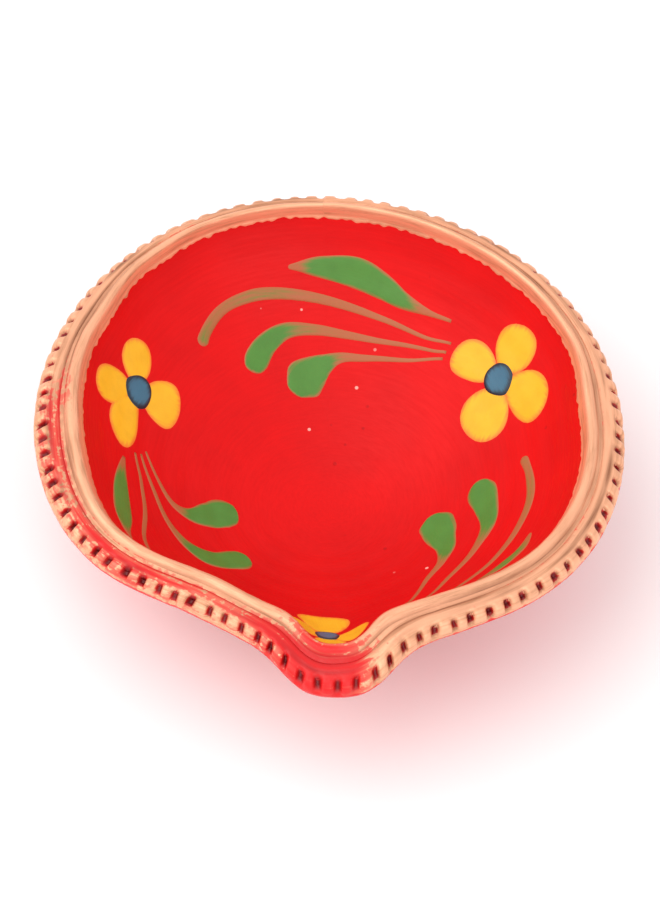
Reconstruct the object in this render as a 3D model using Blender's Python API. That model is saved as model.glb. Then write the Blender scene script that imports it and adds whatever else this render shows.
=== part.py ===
"""Painted clay oil lamp (diya).

A shallow round bowl stands on a flat foot. Its flat flange carries a raised ridge round the opening,
a groove outside the ridge and a notched outer edge, and is pinched out into a small spout for the wick.
Gold paint lies on the flange, and three flowers with leaf sprays are painted on the inner wall.

Frame: origin at the centre of the foot's underside, +Z up, the spout points along -Y. Metres.
"""

import math

import bmesh
import bpy
import numpy as np

# Bowl
RIM_RADIUS = 0.0540            # centre to the crests of the notched edge
OVERALL_HEIGHT = 0.0360        # foot to the top of the gold paint
FLOOR_THICKNESS = 0.0045
WALL_THICKNESS = 0.0045
FOOT_RADIUS = 0.0200
FOOT_HEIGHT = 0.0028           # upright part of the foot
FOOT_CHAMFER = 0.0006
FOOT_FLARE = 0.0025            # the wall starts this far outside the foot

# Flange, as distances inwards from the notch crests and heights
FLANGE_WIDTH = 0.0084          # usual width, notch crests to the inner foot of the ridge
# Share of that width at azimuths round the rim: the thrown flange is narrow at the back
FLANGE_SHARES = ((0, 0.90), (22, 0.68), (60, 0.61), (115, 0.57), (132, 0.66), (152, 0.88), (183, 1.10),
                 (215, 0.96), (270, 1.00), (310, 0.95), (340, 0.93), (360, 0.90))
RIDGE_WIDTH = 0.0036
RIDGE_DROP = 0.0026            # ridge crest above its inner foot
RIDGE_INSIDE = (0.30, 0.25)    # inner shoulder: shares of the ridge's width and drop from its crest
RIDGE_OUTSIDE = (0.28, 0.35)   # outer shoulder: shares of its width and of the groove's depth
GROOVE_DEPTH = 0.0011          # ridge crest above the groove
LIP_RISE = 0.0003              # lip above the groove
LIP_ROUND = 0.0019             # the lip rounds over from here to the notches
LIP_EDGE_DROP = 0.35           # share of the edge rounding that the lip drops before the notches
EDGE_HEIGHT = 0.0038           # notched outer face, top to bottom
EDGE_ROUND = 0.0011
UNDERCUT = 0.0032              # the flange's underside rises this much from the wall
UNDER_KNEE = 0.30              # share of that rise in the outer half of the underside
BACK_DROOP = 0.0012            # the lip hangs lower by this at the back
BACK_DROOP_TURN = (-165.0, 42.0)    # degrees from the spout, spread in degrees

# Notches
NOTCH_PITCH = 0.0036
NOTCH_DEPTH = 0.0012
NOTCH_BOTTOM = 0.80            # share of the depth at the bottom of the edge

# Spout
SPOUT_AZIMUTH = 270.0          # degrees
SPOUT_REACH = 0.0063           # beyond the pressed-in rim
SPOUT_WIDTH = 0.0225           # outside, between the points where it fades out
SPOUT_LIP = 0.0008             # the flange is this much wider at the spout
CHANNEL_WIDTH = 0.0150         # inside, at the mouth
CHANNEL_DIP = 0.0008           # the ridge lies this much lower at the spout
LIP_DIP = 0.0028               # and the lip this much
SPOUT_START = 0.0080           # the spout grows out of the wall from this height up
# Pinching the spout pressed the rim in (and pushed it out beyond): degrees from the spout, spread in
# degrees, depth
PRESSED = ((-32.0, 13.0, 0.0040), (24.0, 14.0, 0.0024), (-60.0, 22.0, -0.0014), (55.0, 20.0, -0.0008))
SKEW = 0.0011                  # the rim is longer by this along one slanting direction
SKEW_AZIMUTH = 137.0

# Paint
PAINT_GAP = 0.0003
PAINT_THICKNESS = 0.0004
GOLD_EDGE = 0.0012             # the gold stops this far inside the notch crests
GOLD_EDGE_DROP = 0.00016       # and this far below the lip
FLOWER_REACH = 0.0110          # usual distance from a flower's centre to its petal tips
# Each flower: azimuth, share of the wall from the middle of the bowl to the ridge, radius of the centre
# dot, and its petals: direction in degrees, reach and half width as shares of the usual reach
FLOWERS = {
    "right": (29.5, 0.718, 0.0032, ((77, 1.05, 0.43), (156, 1.29, 0.41), (241, 1.09, 0.52), (351, 1.05, 0.38))),
    "left": (157.0, 0.760, 0.0032, ((142, 0.91, 0.34), (57, 1.13, 0.33), (8, 1.25, 0.35), (250, 0.89, 0.45))),
    "front": (267.0, 0.764, 0.0024, ((262, 0.90, 0.50), (174, 0.86, 0.34), (12, 0.84, 0.32), (86, 0.73, 0.30))),
}
PETAL_START = 0.0010           # a petal's inner end from the flower's centre
FLOWER_WAIST = 0.0044          # neighbouring petals meet at least this far out
CENTRE_CLEARANCE = 0.0004      # centre dot to petals, and petals to strokes
STROKE_TIP = 0.0006            # a stroke's rounded end closes to this width

# Each stroke: azimuth past the petals in degrees, share of the wall from the middle of the bowl to the
# ridge, and width
SPRAYS = {
    "back": ("right", {
        "leaf": [(5, 0.766, 0.0007), (12, 0.757, 0.0013), (20, 0.763, 0.0034), (27, 0.791, 0.0055),
                 (34, 0.817, 0.0060), (42, 0.826, 0.0044), (48, 0.830, 0.0026), (52, 0.832, 0.0007)],
        "arc": [(2, 0.704, 0.0006), (11, 0.680, 0.0008), (24, 0.689, 0.0012), (35, 0.708, 0.0016),
                (57, 0.760, 0.0021), (66, 0.767, 0.0022), (73, 0.757, 0.0022), (79, 0.728, 0.0024),
                (83, 0.698, 0.0026)],
        "bud": [(2, 0.672, 0.0006), (8, 0.649, 0.0007), (23, 0.621, 0.0010), (35, 0.621, 0.0015),
                (46, 0.635, 0.0023), (55, 0.642, 0.0032), (62, 0.620, 0.0044), (67, 0.587, 0.0050),
                (71, 0.548, 0.0050)],
        "drop": [(2, 0.648, 0.0006), (13, 0.590, 0.0008), (27, 0.558, 0.0013), (37, 0.548, 0.0022),
                 (43, 0.526, 0.0044), (48, 0.500, 0.0073), (52, 0.478, 0.0078), (58, 0.444, 0.0070)],
    }),
    "left": ("left", {
        "leaf": [(6, 0.768, 0.0008), (15, 0.796, 0.0040), (24, 0.826, 0.0054), (32, 0.872, 0.0034),
                 (38, 0.914, 0.0008)],
        "arc": [(2, 0.716, 0.0006), (12, 0.694, 0.0010), (25, 0.718, 0.0012), (41, 0.846, 0.0009)],
        "bud": [(1, 0.690, 0.0006), (13, 0.640, 0.0010), (25, 0.612, 0.0015), (36, 0.576, 0.0032),
                (43, 0.526, 0.0056), (46, 0.452, 0.0060), (49, 0.383, 0.0052)],
        "drop": [(-1, 0.671, 0.0006), (8, 0.613, 0.0009), (16, 0.562, 0.0015), (19, 0.498, 0.0038),
                 (18, 0.427, 0.0066), (16, 0.375, 0.0074), (16, 0.318, 0.0060)],
    }),
    "right": ("front", {
        "leaf": [(16, 0.851, 0.0006), (27, 0.812, 0.0018), (35, 0.817, 0.0032), (41, 0.829, 0.0028),
                 (47, 0.817, 0.0008)],
        "arc": [(10, 0.838, 0.0006), (24, 0.740, 0.0011), (38, 0.726, 0.0014), (51, 0.734, 0.0018),
                (61, 0.742, 0.0021), (70, 0.726, 0.0021), (77, 0.704, 0.0021)],
        "bud": [(8, 0.762, 0.0006), (25, 0.625, 0.0011), (42, 0.597, 0.0018), (54, 0.592, 0.0036),
                (63, 0.562, 0.0058), (70, 0.536, 0.0064), (76, 0.522, 0.0058)],
        "drop": [(6, 0.716, 0.0006), (21, 0.554, 0.0011), (34, 0.507, 0.0020), (42, 0.474, 0.0046),
                 (48, 0.429, 0.0070), (54, 0.395, 0.0074), (62, 0.355, 0.0066)],
    }),
}

# Fineness
WALL_RINGS = (0.09, 0.19, 0.29, 0.39, 0.49, 0.59, 0.69, 0.79, 0.90)     # shares of the inner wall
# The inner wall's rings have this many columns for each four notches up to each share; finest where the
# spout's channel bends them
WALL_COLUMNS = ((0.10, 1), (0.45, 2), (0.55, 4), (1.0, 8))
OUTSIDE_RINGS = (1.0, 0.86, 0.66, 0.44, 0.22, 0.0)                      # shares of the outer wall
FINE_OUTSIDE_FROM = 0.40
SHARP_ANGLE = 40.0             # degrees; edges that turn more than this are shaded sharp
STROKE_STATIONS = 17
STROKE_CROWDING = 1.7
STROKE_LANES = 2
PETAL_COLUMNS = 48
PETAL_RINGS = 4
DOT_COLUMNS = 16
OUTLINE_SAMPLES = 2880

# Worked out from the dimensions above
CLAY_TOP = OVERALL_HEIGHT - PAINT_GAP - PAINT_THICKNESS
MOUTH_RADIUS = RIM_RADIUS - FLANGE_WIDTH
MOUTH_HEIGHT = CLAY_TOP - RIDGE_DROP
DEPTH = MOUTH_HEIGHT - FLOOR_THICKNESS
BOWL_CURVE = (MOUTH_RADIUS ** 2 + DEPTH ** 2) / (2.0 * DEPTH)      # radius of the inner wall's sphere
CURVE_CENTRE = FLOOR_THICKNESS + BOWL_CURVE
WALL_LENGTH = BOWL_CURVE * math.asin(MOUTH_RADIUS / BOWL_CURVE)    # along the wall, middle to ridge
GROOVE_HEIGHT = CLAY_TOP - GROOVE_DEPTH
LIP_HEIGHT = GROOVE_HEIGHT + LIP_RISE
EDGE_TOP = LIP_HEIGHT - EDGE_ROUND
EDGE_BOTTOM = EDGE_TOP - EDGE_HEIGHT + 2.0 * EDGE_ROUND
WALL_TOP = EDGE_BOTTOM - EDGE_ROUND - UNDERCUT
OUTER_CURVE = BOWL_CURVE + WALL_THICKNESS

RED_PAINT = (0.62, 0.010, 0.010)
GOLD_PAINT = (0.80, 0.36, 0.20)
YELLOW_PAINT = (0.92, 0.56, 0.04)
BLUE_PAINT = (0.05, 0.16, 0.26)
GREEN_PAINT = (0.12, 0.30, 0.06)


def direction(azimuth):
    """Unit vectors in plan for azimuths in degrees."""
    angle = np.radians(azimuth)
    return np.stack([np.cos(angle), np.sin(angle)], axis=-1)


def turn_between(azimuth, start):
    """Signed angle in degrees from start to azimuth, within half a turn."""
    return (np.asarray(azimuth) - start + 180.0) % 360.0 - 180.0


def smooth_step(value, low, high):
    """Zero below low, one above high, and smooth between."""
    share = np.clip((value - low) / (high - low), 0.0, 1.0)
    return share * share * (3.0 - 2.0 * share)


def spout_share(azimuth, width):
    """One on the spout's middle line, fading to nothing at its sides: exp(-|x / half width|^3)."""
    turn = turn_between(azimuth, SPOUT_AZIMUTH)
    across = RIM_RADIUS * np.sin(np.radians(np.clip(turn, -90.0, 90.0)))
    return np.exp(-np.abs(across / (width / 2.0)) ** 3)


def bell(turn, middle, spread):
    """One in the middle, fading to both sides; all in degrees."""
    return np.exp(-0.5 * (turn_between(turn, middle) / spread) ** 2)


def pressed_radius(azimuth):
    """Plan radius of the rim without its spout: a slightly oval circle, dented on each side of the spout."""
    azimuth = np.asarray(azimuth)
    turn = turn_between(azimuth, SPOUT_AZIMUTH)
    radius = RIM_RADIUS + SKEW * np.cos(2.0 * np.radians(azimuth - SKEW_AZIMUTH))
    for middle, spread, depth in PRESSED:
        radius = radius - depth * bell(turn, middle, spread)
    return radius


def flange_share(azimuth):
    """Share of the flange's usual width: smooth steps from each entry of the table to the next."""
    azimuth = np.asarray(azimuth) % 360.0
    table = np.array(FLANGE_SHARES)
    entry = np.clip(np.searchsorted(table[:, 0], azimuth, side="right") - 1, 0, len(table) - 2)
    low, high = table[entry], table[entry + 1]
    step = smooth_step(azimuth, low[..., 0], high[..., 0])
    return low[..., 1] + step * (high[..., 1] - low[..., 1])


def droop(azimuth):
    """How far the lip hangs at the back."""
    return BACK_DROOP * bell(turn_between(azimuth, SPOUT_AZIMUTH), *BACK_DROOP_TURN)


def outer_radius(azimuth):
    """Plan radius of the notch crests."""
    return pressed_radius(azimuth) + SPOUT_REACH * spout_share(azimuth, SPOUT_WIDTH)


def mouth_radius(azimuth):
    """Plan radius of the ridge's inner foot."""
    reach = (SPOUT_REACH - SPOUT_LIP) * spout_share(azimuth, CHANNEL_WIDTH)
    return pressed_radius(azimuth) - FLANGE_WIDTH * flange_share(azimuth) + reach


class Outline:
    """A closed plan curve given by its radius, walked in even steps from the back of the lamp."""

    def __init__(self, radius):
        azimuth = 90.0 + np.linspace(0.0, 360.0, OUTLINE_SAMPLES + 1)
        self.points = direction(azimuth) * radius(azimuth)[:, None]
        steps = np.linalg.norm(np.diff(self.points, axis=0), axis=1)
        self.length = float(steps.sum())
        self.walked = np.concatenate([[0.0], np.cumsum(steps)]) / self.length

    def at(self, share):
        """Points at shares of a full turn round the outline."""
        share = np.asarray(share) % 1.0
        return np.stack([np.interp(share, self.walked, self.points[:, axis]) for axis in (0, 1)], axis=-1)


OUTER = Outline(outer_radius)
MOUTH = Outline(mouth_radius)
NOTCHES = 4 * round(OUTER.length / NOTCH_PITCH / 4.0)


def flange_dip(share, across):
    """How far the flange dips at the spout and at the back, across being the share of the way inwards."""
    azimuth = 90.0 + 360.0 * np.asarray(share)
    spout = (LIP_DIP * (1.0 - across) + CHANNEL_DIP * across) * spout_share(azimuth, SPOUT_WIDTH)
    return spout + (1.0 - across) * droop(azimuth)


def flange_points(share, inwards, height):
    """Points on the flange: from the outer outline towards the mouth, dipping at the spout."""
    across = inwards / FLANGE_WIDTH
    plan = OUTER.at(share) * (1.0 - across) + MOUTH.at(share) * across
    return np.column_stack([plan, height - flange_dip(share, across)])


def shaped_ring(share, radius, height, edge, edge_radius, edge_dip, low, high):
    """A round ring that takes on the shape of a plan curve (edge) as it rises from low to high."""
    around = direction(90.0 + 360.0 * np.asarray(share))
    follow = smooth_step(height, low, high)[..., None]
    plan = around * radius[..., None] + follow * (edge - around * edge_radius)
    return np.column_stack([plan, height - follow[..., 0] * edge_dip])


def inner_points(share, along):
    """Points on the inner wall: share of a turn, and distance along the wall from the bowl's middle."""
    slope = np.asarray(along) / BOWL_CURVE
    radius = BOWL_CURVE * np.sin(slope)
    height = CURVE_CENTRE - BOWL_CURVE * np.cos(slope)
    return shaped_ring(share, radius, height, MOUTH.at(share), MOUTH_RADIUS, flange_dip(share, 1.0),
                       SPOUT_START, MOUTH_HEIGHT)


def outer_points(share, height):
    """Points on the outer wall at a height."""
    radius = math.sqrt(OUTER_CURVE ** 2 - (CURVE_CENTRE - height) ** 2)
    top_radius = math.sqrt(OUTER_CURVE ** 2 - (CURVE_CENTRE - WALL_TOP) ** 2)
    across = (RIM_RADIUS - top_radius) / FLANGE_WIDTH
    edge = OUTER.at(share) * (1.0 - across) + MOUTH.at(share) * across
    return shaped_ring(share, np.full(len(share), radius), np.full(len(share), height), edge, top_radius,
                       flange_dip(share, across), SPOUT_START, WALL_TOP)


def flange_section():
    """Top of the flange from the ridge's inner foot to where the notches start: (inwards, height)."""
    crest = FLANGE_WIDTH - RIDGE_WIDTH / 2.0
    groove = FLANGE_WIDTH - RIDGE_WIDTH
    return [
        (FLANGE_WIDTH, MOUTH_HEIGHT),
        (crest + RIDGE_INSIDE[0] * RIDGE_WIDTH, CLAY_TOP - RIDGE_INSIDE[1] * RIDGE_DROP),
        (crest, CLAY_TOP),
        (crest - RIDGE_OUTSIDE[0] * RIDGE_WIDTH, CLAY_TOP - RIDGE_OUTSIDE[1] * GROOVE_DEPTH),
        (groove, GROOVE_HEIGHT),
        ((groove + LIP_ROUND) / 2.0, LIP_HEIGHT),
        (LIP_ROUND, LIP_HEIGHT),
    ]


def notched_section():
    """Outer face of the flange: (inwards, height, share of the notch depth)."""
    return [
        (LIP_ROUND - EDGE_ROUND, LIP_HEIGHT - LIP_EDGE_DROP * EDGE_ROUND, 0.0),
        (0.0, EDGE_TOP, 1.0),
        (0.0, EDGE_BOTTOM, NOTCH_BOTTOM),
        (EDGE_ROUND, EDGE_BOTTOM - EDGE_ROUND, 0.0),
    ]


def foot_section():
    """Upright part of the foot, from its top down: (radius, height)."""
    return [
        (FOOT_RADIUS, FOOT_HEIGHT),
        (FOOT_RADIUS, FOOT_CHAMFER),
        (FOOT_RADIUS - FOOT_CHAMFER, 0.0),
    ]


def even_shares(count):
    return np.arange(count) / count


def add_ring(mesh, points):
    return [mesh.verts.new(point) for point in points]


def join_rings(mesh, first, second):
    """Faces between two rings; the finer ring has a whole number of vertices for each coarse one."""
    if len(first) > len(second):
        flipped = join_rings(mesh, second, first)
        for face in flipped:
            face.normal_flip()
        return flipped
    count = len(first)
    ratio = len(second) // count
    faces = []
    for i in range(count):
        near, far = first[i], first[(i + 1) % count]
        fine = [second[(i * ratio + j) % len(second)] for j in range(ratio + 1)]
        if ratio == 1:
            faces.append(mesh.faces.new([near, far, fine[1], fine[0]]))
            continue
        half = ratio // 2
        for j in range(half):
            faces.append(mesh.faces.new([near, fine[j + 1], fine[j]]))
        faces.append(mesh.faces.new([near, far, fine[half]]))
        for j in range(half, ratio):
            faces.append(mesh.faces.new([far, fine[j + 1], fine[j]]))
    return faces


def close_ring(mesh, ring, height):
    """A fan over a ring, to a point on the lamp's axis."""
    middle = mesh.verts.new((0.0, 0.0, height))
    for i, vertex in enumerate(ring):
        mesh.faces.new([middle, vertex, ring[(i + 1) % len(ring)]])


def make_material(name, colour, roughness, metallic=0.0):
    material = bpy.data.materials.new(name)
    material.use_nodes = True
    shader = material.node_tree.nodes["Principled BSDF"]
    shader.inputs["Base Color"].default_value = (*colour, 1.0)
    shader.inputs["Roughness"].default_value = roughness
    shader.inputs["Metallic"].default_value = metallic
    return material


def link_object(name, mesh, material):
    """Turn a bmesh into a smooth-shaded object."""
    data = bpy.data.meshes.new(name)
    mesh.to_mesh(data)
    mesh.free()
    data.materials.append(material)
    data.shade_smooth()
    data.set_sharp_from_angle(angle=math.radians(SHARP_ANGLE))
    piece = bpy.data.objects.new(name, data)
    bpy.context.scene.collection.objects.link(piece)
    return piece


def add_paint(name, mesh, material):
    """Turn an open sheet round to face the bowl's hollow, and thicken it away from the clay."""
    mesh.normal_update()
    hollow = np.array([0.0, 0.0, CURVE_CENTRE])
    facing = sum(np.dot(hollow - np.array(face.calc_center_median()), face.normal) for face in mesh.faces)
    if facing < 0.0:
        bmesh.ops.reverse_faces(mesh, faces=mesh.faces[:])
    solidify = link_object(name, mesh, material).modifiers.new("paint_thickness", "SOLIDIFY")
    solidify.thickness = PAINT_THICKNESS
    solidify.offset = 1.0
    solidify.use_even_offset = True


def make_bowl():
    """Floor, wall, spout, flange, notched edge and foot in one solid of fired clay."""
    mesh = bmesh.new()
    fine, middle = NOTCHES, NOTCHES // 2
    rings = []
    for share in WALL_RINGS:
        count = NOTCHES // 4 * next(columns for limit, columns in WALL_COLUMNS if share <= limit)
        rings.append(add_ring(mesh, inner_points(even_shares(count), np.full(count, share * WALL_LENGTH))))
    around = even_shares(fine)
    for inwards, height in flange_section():
        rings.append(add_ring(mesh, flange_points(around, inwards, height)))

    # Each notch takes three columns: the notch and two on the crest beside it
    toothed = even_shares(3 * fine)
    in_notch = (np.arange(3 * fine) % 3 == 0) * NOTCH_DEPTH
    for inwards, height, depth in notched_section():
        points = flange_points(toothed, inwards, height)
        points[:, :2] -= direction(90.0 + 360.0 * toothed) * (in_notch * depth)[:, None]
        rings.append(add_ring(mesh, points))

    under = (RIM_RADIUS - math.sqrt(OUTER_CURVE ** 2 - (CURVE_CENTRE - WALL_TOP) ** 2)) / 2.0
    under_height = EDGE_BOTTOM - EDGE_ROUND - UNDER_KNEE * UNDERCUT
    rings.append(add_ring(mesh, flange_points(around, EDGE_ROUND + under, under_height)))
    wall_foot = CURVE_CENTRE - math.sqrt(OUTER_CURVE ** 2 - (FOOT_RADIUS + FOOT_FLARE) ** 2)
    for share in OUTSIDE_RINGS:
        count = fine if share > FINE_OUTSIDE_FROM else middle
        height = wall_foot + share * (WALL_TOP - wall_foot)
        rings.append(add_ring(mesh, outer_points(even_shares(count), height)))
    for radius, height in foot_section():
        plan = direction(90.0 + 360.0 * even_shares(middle)) * radius
        rings.append(add_ring(mesh, np.column_stack([plan, np.full(middle, height)])))

    for first, second in zip(rings, rings[1:]):
        join_rings(mesh, first, second)
    close_ring(mesh, rings[0], FLOOR_THICKNESS)
    close_ring(mesh, rings[-1], 0.0)
    bmesh.ops.recalc_face_normals(mesh, faces=mesh.faces[:])
    link_object("clay_bowl", mesh, make_material("red_painted_clay", RED_PAINT, 0.42))


def lift_section(section):
    """A flange section moved away from the clay by the paint gap, along its own normals."""
    points = np.array(section)
    slopes = np.gradient(points, axis=0)
    slopes /= np.linalg.norm(slopes, axis=1)[:, None]
    away = np.column_stack([slopes[:, 1], -slopes[:, 0]])
    return points + PAINT_GAP * away


def make_gold_band(gold):
    """Gold paint over the ridge, the groove and the lip, round the mouth and along the spout."""
    mesh = bmesh.new()
    section = flange_section()
    outer_stop = (GOLD_EDGE, LIP_HEIGHT - GOLD_EDGE_DROP)
    around = even_shares(NOTCHES)
    rings = [add_ring(mesh, flange_points(around, inwards, height))
             for inwards, height in lift_section(section[1:] + [outer_stop])]
    for first, second in zip(rings, rings[1:]):
        join_rings(mesh, second, first)
    add_paint("gold_rim_band", mesh, gold)


def sheet_points(azimuth, along):
    """Points just clear of the inner wall, from azimuths in degrees and distances along the wall."""
    azimuth = np.ravel(azimuth)
    along = np.ravel(along)
    points = inner_points((azimuth - 90.0) / 360.0, along)
    inward = np.array([0.0, 0.0, CURVE_CENTRE]) - points
    return points + PAINT_GAP * inward / np.linalg.norm(inward, axis=1)[:, None]


def round_sheet(azimuth, along, radii, columns):
    """A sheet of rings about a place on the wall. Each ring is a radius for each column."""
    angle = 2.0 * math.pi * even_shares(columns)
    mesh = bmesh.new()
    rings = []
    for radius in radii:
        ring_along = along + radius * np.sin(angle)
        plan_radius = BOWL_CURVE * np.sin(ring_along / BOWL_CURVE)
        ring_azimuth = azimuth + np.degrees(radius * np.cos(angle) / plan_radius)
        rings.append(add_ring(mesh, sheet_points(ring_azimuth, ring_along)))
    for first, second in zip(rings, rings[1:]):
        join_rings(mesh, first, second)
    return mesh, rings


def petal_outline(petals, columns):
    """Distance from a flower's centre to its outline: the farthest edge of its petals, each an ellipse."""
    angle = 2.0 * math.pi * even_shares(columns)
    outline = np.full(columns, FLOWER_WAIST)
    for heading, reach_share, half_width_share in petals:
        half_width = half_width_share * FLOWER_REACH
        half_length = (reach_share * FLOWER_REACH - PETAL_START) / 2.0
        middle = PETAL_START + half_length
        turn = angle - math.radians(heading)
        square = (np.cos(turn) / half_length) ** 2 + (np.sin(turn) / half_width) ** 2
        half_linear = middle * np.cos(turn) / half_length ** 2
        under_root = half_linear ** 2 - square * ((middle / half_length) ** 2 - 1.0)
        hit = (half_linear + np.sqrt(np.maximum(under_root, 0.0))) / square
        outline = np.where((under_root > 0.0) & (np.cos(turn) > 0.0), np.maximum(outline, hit), outline)
    return outline


def make_flower(name, yellow, blue):
    """Four petals in one coat of yellow, and the blue dot in their middle."""
    azimuth, wall_share, centre_radius, petals = FLOWERS[name]
    along = wall_share * WALL_LENGTH
    inside = centre_radius + CENTRE_CLEARANCE
    outline = petal_outline(petals, PETAL_COLUMNS)
    radii = [inside + (outline - inside) * out for out in np.linspace(0.0, 1.0, PETAL_RINGS)]
    mesh, _ = round_sheet(azimuth, along, radii, PETAL_COLUMNS)
    add_paint(name + "_flower_petals", mesh, yellow)

    mesh, rings = round_sheet(azimuth, along, [np.full(DOT_COLUMNS, centre_radius)], DOT_COLUMNS)
    mesh.faces.new(rings[0])
    add_paint(name + "_flower_centre", mesh, blue)


def smooth_route(points, stations):
    """A smooth curve through a few points (Catmull-Rom), in steps that grow finer towards its end."""
    points = np.array(points, dtype=float)
    padded = np.vstack([2.0 * points[0] - points[1], points, 2.0 * points[-1] - points[-2]])
    place = (len(points) - 1.0) * (1.0 - (1.0 - np.linspace(0.0, 1.0, stations)) ** STROKE_CROWDING)
    span = np.minimum(place.astype(int), len(points) - 2)
    t = (place - span)[:, None]
    before, start, end, after = (padded[span + k] for k in range(4))
    bend = 2.0 * before - 5.0 * start + 4.0 * end - after
    twist = 3.0 * start - before - 3.0 * end + after
    return 0.5 * (2.0 * start + (end - before) * t + bend * t ** 2 + twist * t ** 3)


def make_stroke(name, petals_end, points, material):
    """One brush stroke on the inner wall, as wide as its points say and rounded off at its ends."""
    route = smooth_route(points, STROKE_STATIONS)
    azimuth = petals_end + route[:, 0]
    along = route[:, 1] * WALL_LENGTH
    plan_radius = BOWL_CURVE * np.sin(along / BOWL_CURVE)
    run = np.column_stack([np.gradient(np.radians(azimuth)) * plan_radius, np.gradient(along)])
    step = np.linalg.norm(run, axis=1)
    run /= step[:, None]
    left = np.append(np.cumsum(step[::-1])[::-1][1:], 0.0)
    rounding = np.clip(1.0 - left / (0.5 * route[-1, 2]), 0.0, 1.0)
    width = np.maximum(route[:, 2] * np.sqrt(1.0 - rounding ** 2), STROKE_TIP)
    lanes = np.linspace(-0.5, 0.5, STROKE_LANES + 1)
    lane_azimuth = azimuth[:, None] - np.degrees(lanes * (run[:, 1] * width / plan_radius)[:, None])
    lane_along = along[:, None] + lanes * (run[:, 0] * width)[:, None]

    mesh = bmesh.new()
    points = sheet_points(lane_azimuth, lane_along)
    grid = [add_ring(mesh, row) for row in points.reshape(STROKE_STATIONS, STROKE_LANES + 1, 3)]
    for first, second in zip(grid, grid[1:]):
        for lane in range(STROKE_LANES):
            mesh.faces.new([first[lane], first[lane + 1], second[lane + 1], second[lane]])
    add_paint(name, mesh, material)


def main():
    for leftover in list(bpy.data.objects):
        bpy.data.objects.remove(leftover)

    make_bowl()
    make_gold_band(make_material("gold_paint", GOLD_PAINT, 0.35, 0.7))
    yellow = make_material("yellow_paint", YELLOW_PAINT, 0.45)
    blue = make_material("blue_paint", BLUE_PAINT, 0.45)
    green = make_material("green_paint", GREEN_PAINT, 0.45)
    for name in FLOWERS:
        make_flower(name, yellow, blue)

    for spray, (flower, strokes) in SPRAYS.items():
        azimuth, wall_share = FLOWERS[flower][:2]
        flower_radius = BOWL_CURVE * math.sin(wall_share * WALL_LENGTH / BOWL_CURVE)
        petals_end = azimuth + math.degrees((FLOWER_REACH + CENTRE_CLEARANCE) / flower_radius)
        for stroke, points in strokes.items():
            make_stroke(spray + "_spray_" + stroke, petals_end, points, green)


main()
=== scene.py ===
"""Painted clay oil lamp: a thrown bowl with a notched gilt rim, a pinched spout and flowers painted inside.

Every surface is a stack of rings. A ring is a closed row of points, worked out for all its columns at once,
and closed_rings() sews a stack of them into one closed mesh.
"""

import math

import bpy
import numpy as np
from bpy.props import FloatProperty, FloatVectorProperty, IntProperty, PointerProperty
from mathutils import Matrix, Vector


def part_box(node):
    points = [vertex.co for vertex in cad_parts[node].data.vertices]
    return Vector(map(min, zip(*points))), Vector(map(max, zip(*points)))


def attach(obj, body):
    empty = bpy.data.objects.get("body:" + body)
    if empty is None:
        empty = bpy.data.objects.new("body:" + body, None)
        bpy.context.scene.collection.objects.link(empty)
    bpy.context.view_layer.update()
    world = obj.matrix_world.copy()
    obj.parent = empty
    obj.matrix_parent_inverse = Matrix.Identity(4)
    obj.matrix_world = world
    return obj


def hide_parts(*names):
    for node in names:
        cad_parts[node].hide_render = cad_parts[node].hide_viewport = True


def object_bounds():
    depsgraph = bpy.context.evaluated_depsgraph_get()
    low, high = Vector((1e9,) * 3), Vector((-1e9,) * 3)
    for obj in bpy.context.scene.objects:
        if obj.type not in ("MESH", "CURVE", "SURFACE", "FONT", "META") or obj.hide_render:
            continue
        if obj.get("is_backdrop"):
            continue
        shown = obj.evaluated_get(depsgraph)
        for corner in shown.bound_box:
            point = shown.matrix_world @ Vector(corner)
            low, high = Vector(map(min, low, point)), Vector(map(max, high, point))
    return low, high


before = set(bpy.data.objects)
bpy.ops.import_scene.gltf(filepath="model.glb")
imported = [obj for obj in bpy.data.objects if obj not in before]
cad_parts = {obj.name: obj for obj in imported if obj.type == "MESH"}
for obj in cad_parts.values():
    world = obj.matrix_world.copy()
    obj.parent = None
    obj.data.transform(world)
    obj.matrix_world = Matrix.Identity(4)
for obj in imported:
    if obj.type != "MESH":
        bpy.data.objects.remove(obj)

CAD_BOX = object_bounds()
BOWL_LOW, BOWL_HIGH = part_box("clay_bowl")

bl_info = {
    "name": "Painted Clay Lamp",
    "version": (1, 0, 0),
    "blender": (4, 5, 0),
    "location": "3D View > Sidebar > Clay Lamp",
    "description": "Makes a thrown clay oil lamp with a notched gilt rim and flowers painted inside",
    "category": "Add Mesh",
}

MM = 0.001
BACK = 90.0                    # azimuth in degrees where every ring starts
SPOUT = 270.0                  # azimuth of the spout's middle line
FLOWERS = ("right", "left", "front")


# ---------------------------------------------------------------------------------------------- settings


def length(name, description, default):
    """A length property in metres, shown in the scene's units."""
    return FloatProperty(name=name, description=description, default=float(default), min=0.0,
                         subtype="DISTANCE", unit="LENGTH", precision=5)


def colour(name, description, default):
    """A colour property, linear red, green and blue."""
    return FloatVectorProperty(name=name, description=description, default=default, size=3, min=0.0,
                               max=1.0, subtype="COLOR")


def amount(name, description, default, high=1.0):
    """A plain number from nothing to high."""
    return FloatProperty(name=name, description=description, default=default, min=0.0, max=high)


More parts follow.
